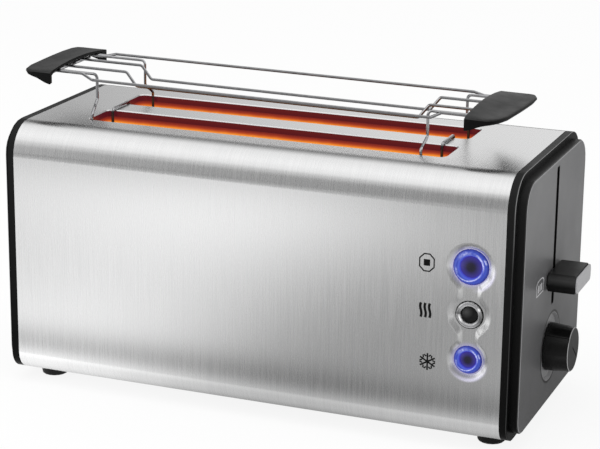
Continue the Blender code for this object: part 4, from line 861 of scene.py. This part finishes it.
refine("steel_housing", STEEL, "housing_steel", angle=25, shape=ease_recess)
for node, sides, front, face in (("right_end_cap", FLANGE, PANEL, PANEL_FACE),
                                 ("left_end_cap", LEFT_FLANGE, LEFT_PANEL, LEFT_PANEL_FACE)):
    cap = refine(node, sides, "cap_plastic", *CAP_EDGE)
    cap.data.materials.append(front)
    for polygon in cap.data.polygons:
        if abs(polygon.center.x - HOUSING_MIDDLE_X) > face - PANEL_DEPTH:
            polygon.material_index = 1
refine("crumb_tray_front", LEFT_PANEL, "cap_plastic", *CAP_EDGE)
for end in ("left", "right"):
    for side in ("front", "back"):
        refine(f"foot_{side}_{end}", RUBBER, "foot_rubber")
    refine(f"rack_handle_{end}", handle_plastic(end + "_handle_plastic", "rack_handle_" + end),
           "black_plastic", *HANDLE_EDGE)
    refine(f"rack_cross_{end}", WIRE, "wire_chrome")
    refine(f"rack_leg_{end}", WIRE, "wire_chrome")
for side in ("front", "back"):
    refine(f"rack_rail_{side}", WIRE, "wire_chrome")
    refine(f"rack_wire_{side}", WIRE, "wire_chrome")
    refine(f"{side}_slot_liner", HOT_LINER, "sheet_zinc")
refine("lever_knob", knob_plastic(), "black_plastic", *KNOB_EDGE)
refine("lever_end_plate", PALE, "pale_plastic", *END_PLATE_EDGE)
refine("browning_dial", dial_plastic(), "black_plastic", DIAL_EDGE)
for name in LIT_NAMES:
    refine(f"{name}_ring", lit_ring(name), "lit_ring", KEY_EDGE)
    refine(f"{name}_button", lit_key(name), "black_plastic", KEY_EDGE)
refine("reheat_ring", clear_ring(), "clear_ring", KEY_EDGE)
refine("reheat_button", domed_key(), "black_plastic", KEY_EDGE)
spring = refine("return_spring", ZINC, "wire_chrome")
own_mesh(spring)

for finish, nodes in (
        (HOT_GUIDE, ("front_slot_guide_front", "front_slot_guide_back",
                     "back_slot_guide_front", "back_slot_guide_back")),
        (HOT_BOARD, ("heater_front", "heater_middle_front", "heater_middle_back", "heater_back")),
        (ZINC, ("base_plate", "crumb_tray_pan", "chassis_plate_left", "chassis_plate_right",
                "front_heat_shield", "back_heat_shield", "front_bread_shelf",
                "back_bread_shelf", "carriage_bracket", "lever_arm", "dial_shaft",
                "dial_potentiometer", "armature", "holding_magnet", "guide_rod_front",
                "guide_rod_back")),
        (RUBBER, ("cord_gland", "switch_carrier")),
        (GREEN_BOARD, ("control_board",))):
    for node in nodes:
        set_finish(frame["nodes"][node], finish)


# Printed signs

INK_THICKNESS = 0.00003
# How far left of the buttons the signs stand, and each one's own shift (across, up).
SIGN_OFFSET = 0.03105
SIGN_SHIFTS = {"stop": (0.0, 0.0), "reheat": (-0.0002, -0.0002), "defrost": (0.0024, -0.0049)}


def flat_shape(name, outlines):
    """One flat printed shape from loops of (across, up) points: an outline, then its holes."""
    deselect()
    data = bpy.data.curves.new(name, "CURVE")
    data.dimensions = "2D"
    data.fill_mode = "BOTH"
    data.extrude = INK_THICKNESS / 2
    for outline in outlines:
        line = data.splines.new("POLY")
        line.points.add(len(outline) - 1)
        for point, (across, up) in zip(line.points, outline):
            point.co = (across, up, 0, 1)
        line.use_cyclic_u = True
    shape = bpy.data.objects.new(name, data)
    bpy.context.scene.collection.objects.link(shape)
    take(shape)
    bpy.ops.object.convert(target="MESH")
    return bpy.context.object


def flat_sign(name, shapes, finish, slot, to_world):
    """Printed shapes joined into one thin piece and stood on the surface that carries them."""
    made = [flat_shape(name, outlines) for outlines in shapes]
    sign = take(made[0])
    for shape in made[1:]:
        shape.select_set(True)
    bpy.ops.object.join()
    sign.data.transform(to_world)
    bpy.ops.object.mode_set(mode="EDIT")
    bpy.ops.mesh.select_all(action="SELECT")
    bpy.ops.mesh.normals_make_consistent(inside=False)
    bpy.ops.object.mode_set(mode="OBJECT")
    set_finish(sign, finish)
    return on_body(sign, "toaster_body", slot=slot)


def stroke(points, width):
    """A closed outline of even width round an open line."""
    left, right = [], []
    for i, point in enumerate(points):
        before = Vector(points[max(i - 1, 0)])
        after = Vector(points[min(i + 1, len(points) - 1)])
        way = (after - before).normalized()
        side = Vector((-way.y, way.x)) * width / 2
        left.append(tuple(Vector(point) + side))
        right.append(tuple(Vector(point) - side))
    return left + right[::-1]


def beside_key(name):
    """Stand a sign drawn in (across, up) on the front of the steel, left of its key."""
    across, up = SIGN_SHIFTS[name]
    place = (ring_place("stop")[0].x - SIGN_OFFSET + across, FRONT_Y - INK_THICKNESS,
             ring_place(name)[0].z + up)
    return Matrix.Translation(place) @ Matrix.Rotation(pi / 2, 4, "X")


def on_panel(y, z):
    """Stand a sign drawn in (across, up) against the lever end's panel."""
    turn = Matrix.Rotation(pi / 2, 4, "Z") @ Matrix.Rotation(pi / 2, 4, "X")
    return Matrix.Translation((cap_high.x + INK_THICKNESS, y, z)) @ turn


STOP_WIDTH, STOP_HEIGHT = 0.0113, 0.0132
STOP_CUT = 0.0034
STOP_LINE = 0.0009
STOP_SQUARE_HALF = 0.0023


def octagon(width, height, cut):
    w, h = width / 2, height / 2
    return [(w, -h + cut), (w, h - cut), (w - cut, h), (-w + cut, h),
            (-w, h - cut), (-w, -h + cut), (-w + cut, -h), (w - cut, -h)]


def stop_sign():
    """An eight-sided outline with a plain filled square in it."""
    half = STOP_SQUARE_HALF
    outline = [octagon(STOP_WIDTH, STOP_HEIGHT, STOP_CUT),
               octagon(STOP_WIDTH - 2 * STOP_LINE, STOP_HEIGHT - 2 * STOP_LINE,
                       STOP_CUT - STOP_LINE / 2)]
    square = [[(-half, -half), (half, -half), (half, half), (-half, half)]]
    flat_sign("stop_sign", [outline, square], INK, "black_plastic", beside_key("stop"))


WAVE_HEIGHT = 0.0104
WAVE_SWING = 0.0005
WAVE_PITCH = 0.0032
WAVE_LINE = 0.0018
WAVE_POINTS = 13


def reheat_sign():
    """Three upright waves."""
    shares = [i / (WAVE_POINTS - 1) for i in range(WAVE_POINTS)]
    wave = [(WAVE_SWING * sin(2 * pi * share), WAVE_HEIGHT * (share - 0.5)) for share in shares]
    waves = [[stroke([(x + place, y) for x, y in wave], WAVE_LINE)]
             for place in (-WAVE_PITCH, 0, WAVE_PITCH)]
    flat_sign("reheat_sign", waves, INK, "black_plastic", beside_key("reheat"))


FLAKE_ARMS = 6
FLAKE_RADIUS = 0.0062
FLAKE_LINE = 0.0012
FLAKE_TWIG_SHARE = 0.62
FLAKE_TWIG = 0.0021
FLAKE_TWIG_LINE = 0.85
FLAKE_TWIG_ROOT = 0.7
FLAKE_TWIG_WAY = (0.6, 0.8)


def defrost_sign():
    """Six arms with a pair of twigs near each tip, every stroke its own bar."""
    step = 2 * pi / FLAKE_ARMS
    hub = FLAKE_LINE / 2 / tan(step / 2)
    corner = hub / cos(step / 2)
    strokes = [[(corner * cos(i * step), corner * sin(i * step)) for i in range(FLAKE_ARMS)]]
    onward, sideways = FLAKE_TWIG_WAY
    for i in range(FLAKE_ARMS):
        way = Vector((cos(pi / 2 + i * step), sin(pi / 2 + i * step)))
        aside = Vector((-way.y, way.x))
        strokes.append(stroke([tuple(way * hub), tuple(way * FLAKE_RADIUS)], FLAKE_LINE))
        for turn in (1, -1):
            root = (way * FLAKE_RADIUS * FLAKE_TWIG_SHARE
                    + aside * turn * FLAKE_LINE * FLAKE_TWIG_ROOT)
            tip = root + (way * onward + aside * turn * sideways) * FLAKE_TWIG
            strokes.append(stroke([tuple(root), tuple(tip)], FLAKE_LINE * FLAKE_TWIG_LINE))
    flat_sign("defrost_sign", [[line] for line in strokes], INK, "black_plastic",
              beside_key("defrost"))


SLICE_WIDTH = 0.0205
SLICE_HEIGHT = 0.0114
SLICE_LINE = 0.0007
# Its narrow foot and waist need a wider inset across, to keep the line even.
SLICE_LINE_ACROSS = 1.6
SLICE_PLACE = (-0.0372, 0.1122)
# Half of a slice, as shares of half its width and of its height: foot, waist, shoulder, crust.
SLICE_HALF = ((0.88, 0.0), (0.88, 0.52), (1.0, 0.60), (1.0, 0.74), (0.86, 0.88),
              (0.60, 0.96), (0.30, 0.99), (0.0, 1.0))
SLICE_BARS = (-0.0040, 0.0, 0.0040)
SLICE_BAR_FOOT, SLICE_BAR_TOP = -0.0034, 0.0018
SLICE_BAR_LINE = 0.0019


def slice_outline(inset):
    """A slice of bread seen from the front, drawn inside its edge by the inset."""
    half = SLICE_WIDTH / 2 - inset * SLICE_LINE_ACROSS
    height = SLICE_HEIGHT - 2 * inset
    right = [(across * half, (up - 0.5) * height) for across, up in SLICE_HALF]
    return right + [(-across, up) for across, up in right[-2::-1]]


def slice_sign():
    """A slice of bread in outline with three upright bars of heat."""
    bars = [[stroke([(x, SLICE_BAR_FOOT), (x, SLICE_BAR_TOP)], SLICE_BAR_LINE)]
            for x in SLICE_BARS]
    flat_sign("slice_sign", [[slice_outline(0), slice_outline(SLICE_LINE)]] + bars,
              PALE_INK, "pale_plastic", on_panel(*SLICE_PLACE))


stop_sign()
reheat_sign()
defrost_sign()
slice_sign()


# Studio

FLOOR_SIZE = 8
FLOOR_TONE = grey(0.92)
FLOOR_ROUGHNESS = 0.9
# How much of the floor that the camera sees is plain white; the rest keeps the shadow.
FLOOR_WHITE_SHARE = 0.88
# What the steel and the gloss plastics find on the floor: (place in metres, tone).
FLOOR_ALONG = (
    (-0.50, 0.82), (-0.40, 0.95), (-0.36, 1.02), (-0.30, 1.12), (-0.25, 1.18), (-0.19, 1.15),
    (-0.146, 1.0), (-0.10, 0.78), (-0.064, 0.58), (-0.03, 0.46), (0.006, 0.40), (0.03, 0.38),
    (0.17, 0.44), (0.24, 0.62), (0.45, 0.72))
FLOOR_ACROSS = (
    (-0.90, 0.55), (-0.76, 0.45), (-0.715, 0.45), (-0.69, 0.75), (-0.65, 1.38), (-0.58, 1.32),
    (-0.52, 1.12), (-0.45, 0.98), (-0.36, 0.88), (-0.28, 0.92), (-0.22, 1.0), (-0.20, 0.78),
    (-0.178, 0.42), (-0.162, 0.42), (-0.150, 0.80), (-0.128, 0.90), (-0.09, 0.75), (-0.04, 0.5),
    (0.0, 0.35), (0.09, 0.35), (0.30, 0.75), (0.50, 1.0), (0.60, 1.0), (0.70, 0.5), (0.85, 0.4))
FLOOR_GLINT = (
    (-0.85, 0.0), (-0.160, 0.0), (-0.148, 0.28), (-0.12, 0.34), (-0.09, 0.30), (-0.07, 0.15),
    (-0.04, 0.05))
ROOM_TONE = grey(0.80)
# What they find round the room, by the angle from the back over the top, in degrees.
ROOM_BANDS = (
    (-20, 0.30), (5, 0.32), (9, 0.75), (12, 1.0), (18, 0.85), (26, 0.40), (36, 0.24),
    (45, 0.42), (57, 0.8), (70, 1.0), (108, 1.10), (128, 1.0), (142, 0.55), (154, 0.28),
    (170, 0.28), (190, 0.45), (210, 0.6))
# The room low behind the toaster, which its flat top shows, by how far the way leans along X.
ROOM_BEHIND = ((-0.75, 0.40), (-0.50, 0.58), (-0.30, 1.0), (0.0, 1.05))
ROOM_BEHIND_TOP = (24, 60)
# A soft box low at the far left, which the lower walls of the recess round the keys show.
ROOM_LEFT = ((-0.9, 1.0), (-0.66, 1.0), (-0.54, 0.0), (0.0, 0.0))
ROOM_LEFT_HEIGHT = ((130, 0.0), (142, 0.9), (178, 0.9), (190, 0.0))
LAMP_POWER = 14
LAMP_SIZE = (1.6, 1.2)
LAMP_PLACE = (-0.3, -0.6, 1.8)
LAMP_AIM = (0, 0, 0.1)
CAMERA_PLACE = (0.52685, -1.3532, 0.5528)
CAMERA_LENS = 122.04
CAMERA_SENSOR = 36
CAMERA_REACH = 20
CAMERA_AZIMUTH = radians(21.37)
CAMERA_PITCH = radians(16.43)
CAMERA_ROLL = radians(0.67)


def studio_floor():
    """White floor with a soft shadow; mirrors find darker and lighter stretches on it."""
    bpy.ops.mesh.primitive_plane_add(size=FLOOR_SIZE, location=(0, 0, 0))
    floor = bpy.context.object
    floor.name = "studio_floor"
    white = Finish("pale_floor", FLOOR_TONE, FLOOR_ROUGHNESS, shine=0.0)
    mirrored = white.maths("ADD", white.times(white.bands(white.along("X"), FLOOR_ALONG),
                                              white.bands(white.along("Y"), FLOOR_ACROSS)),
                           white.bands(white.along("Y"), FLOOR_GLINT))
    path = white.nodes.new("ShaderNodeLightPath")
    light = white.nodes.new("ShaderNodeEmission")
    white.put(light.inputs["Color"], white.mix(path.outputs["Is Glossy Ray"], WHITE, mirrored))
    lit = white.most(white.times(path.outputs["Is Camera Ray"], FLOOR_WHITE_SHARE),
                     path.outputs["Is Glossy Ray"])
    both = white.nodes.new("ShaderNodeMixShader")
    white.put(both.inputs[0], lit)
    white.put(both.inputs[1], white.shader.outputs[0])
    white.put(both.inputs[2], light.outputs[0])
    white.put(white.nodes["Material Output"].inputs["Surface"], both.outputs[0])
    set_finish(floor, white.made)


def studio_room():
    """White to the camera, even light for the rest, bands of tone for what mirrors."""
    world = bpy.data.worlds.new("studio")
    world.use_nodes = True
    bpy.context.scene.world = world
    room = Paint(world.node_tree, "Generated")
    angle = room.maths("DEGREES", room.maths("ARCTAN2", room.along("Z"), room.along("Y")))
    behind = room.mix(room.sweep(angle, *ROOM_BEHIND_TOP),
                      room.bands(room.along("X"), ROOM_BEHIND), WHITE)
    left = room.times(room.bands(room.along("X"), ROOM_LEFT), room.bands(angle, ROOM_LEFT_HEIGHT))
    mirrored = room.maths("ADD", room.times(room.bands(angle, ROOM_BANDS), behind), left)
    path = room.nodes.new("ShaderNodeLightPath")
    glossy = room.mix(path.outputs["Is Glossy Ray"], ROOM_TONE, mirrored)
    backdrop = room.nodes["Background"]
    room.put(backdrop.inputs["Color"], room.mix(path.outputs["Is Camera Ray"], glossy, WHITE))
    backdrop.inputs["Strength"].default_value = 1.0


def studio_lamp():
    lamp = bpy.data.lights.new("soft_box", "AREA")
    lamp.energy = LAMP_POWER
    lamp.shape = "RECTANGLE"
    lamp.size, lamp.size_y = LAMP_SIZE
    box = bpy.data.objects.new("soft_box", lamp)
    bpy.context.scene.collection.objects.link(box)
    box.location = LAMP_PLACE
    box.rotation_euler = (Vector(LAMP_AIM) - box.location).to_track_quat("-Z", "Y").to_euler()
    box.visible_glossy = False


def set_camera():
    data = bpy.data.cameras.new("camera")
    data.sensor_width = CAMERA_SENSOR
    data.lens = CAMERA_LENS
    data.clip_end = CAMERA_REACH
    camera = bpy.data.objects.new("camera", data)
    bpy.context.scene.collection.objects.link(camera)
    azimuth, pitch, roll = CAMERA_AZIMUTH, CAMERA_PITCH, CAMERA_ROLL
    ahead = Vector((-sin(azimuth) * cos(pitch), cos(azimuth) * cos(pitch), -sin(pitch)))
    level = ahead.cross(Vector((0, 0, 1))).normalized()
    above = level.cross(ahead)
    right = level * cos(roll) + above * sin(roll)
    up = above * cos(roll) - level * sin(roll)
    pose = Matrix((right, up, -ahead)).transposed().to_4x4()
    pose.translation = CAMERA_PLACE
    camera.matrix_world = pose
    bpy.context.scene.camera = camera


studio_floor()
studio_room()
studio_lamp()
set_camera()
bpy.context.scene.view_settings.view_transform = "Standard"
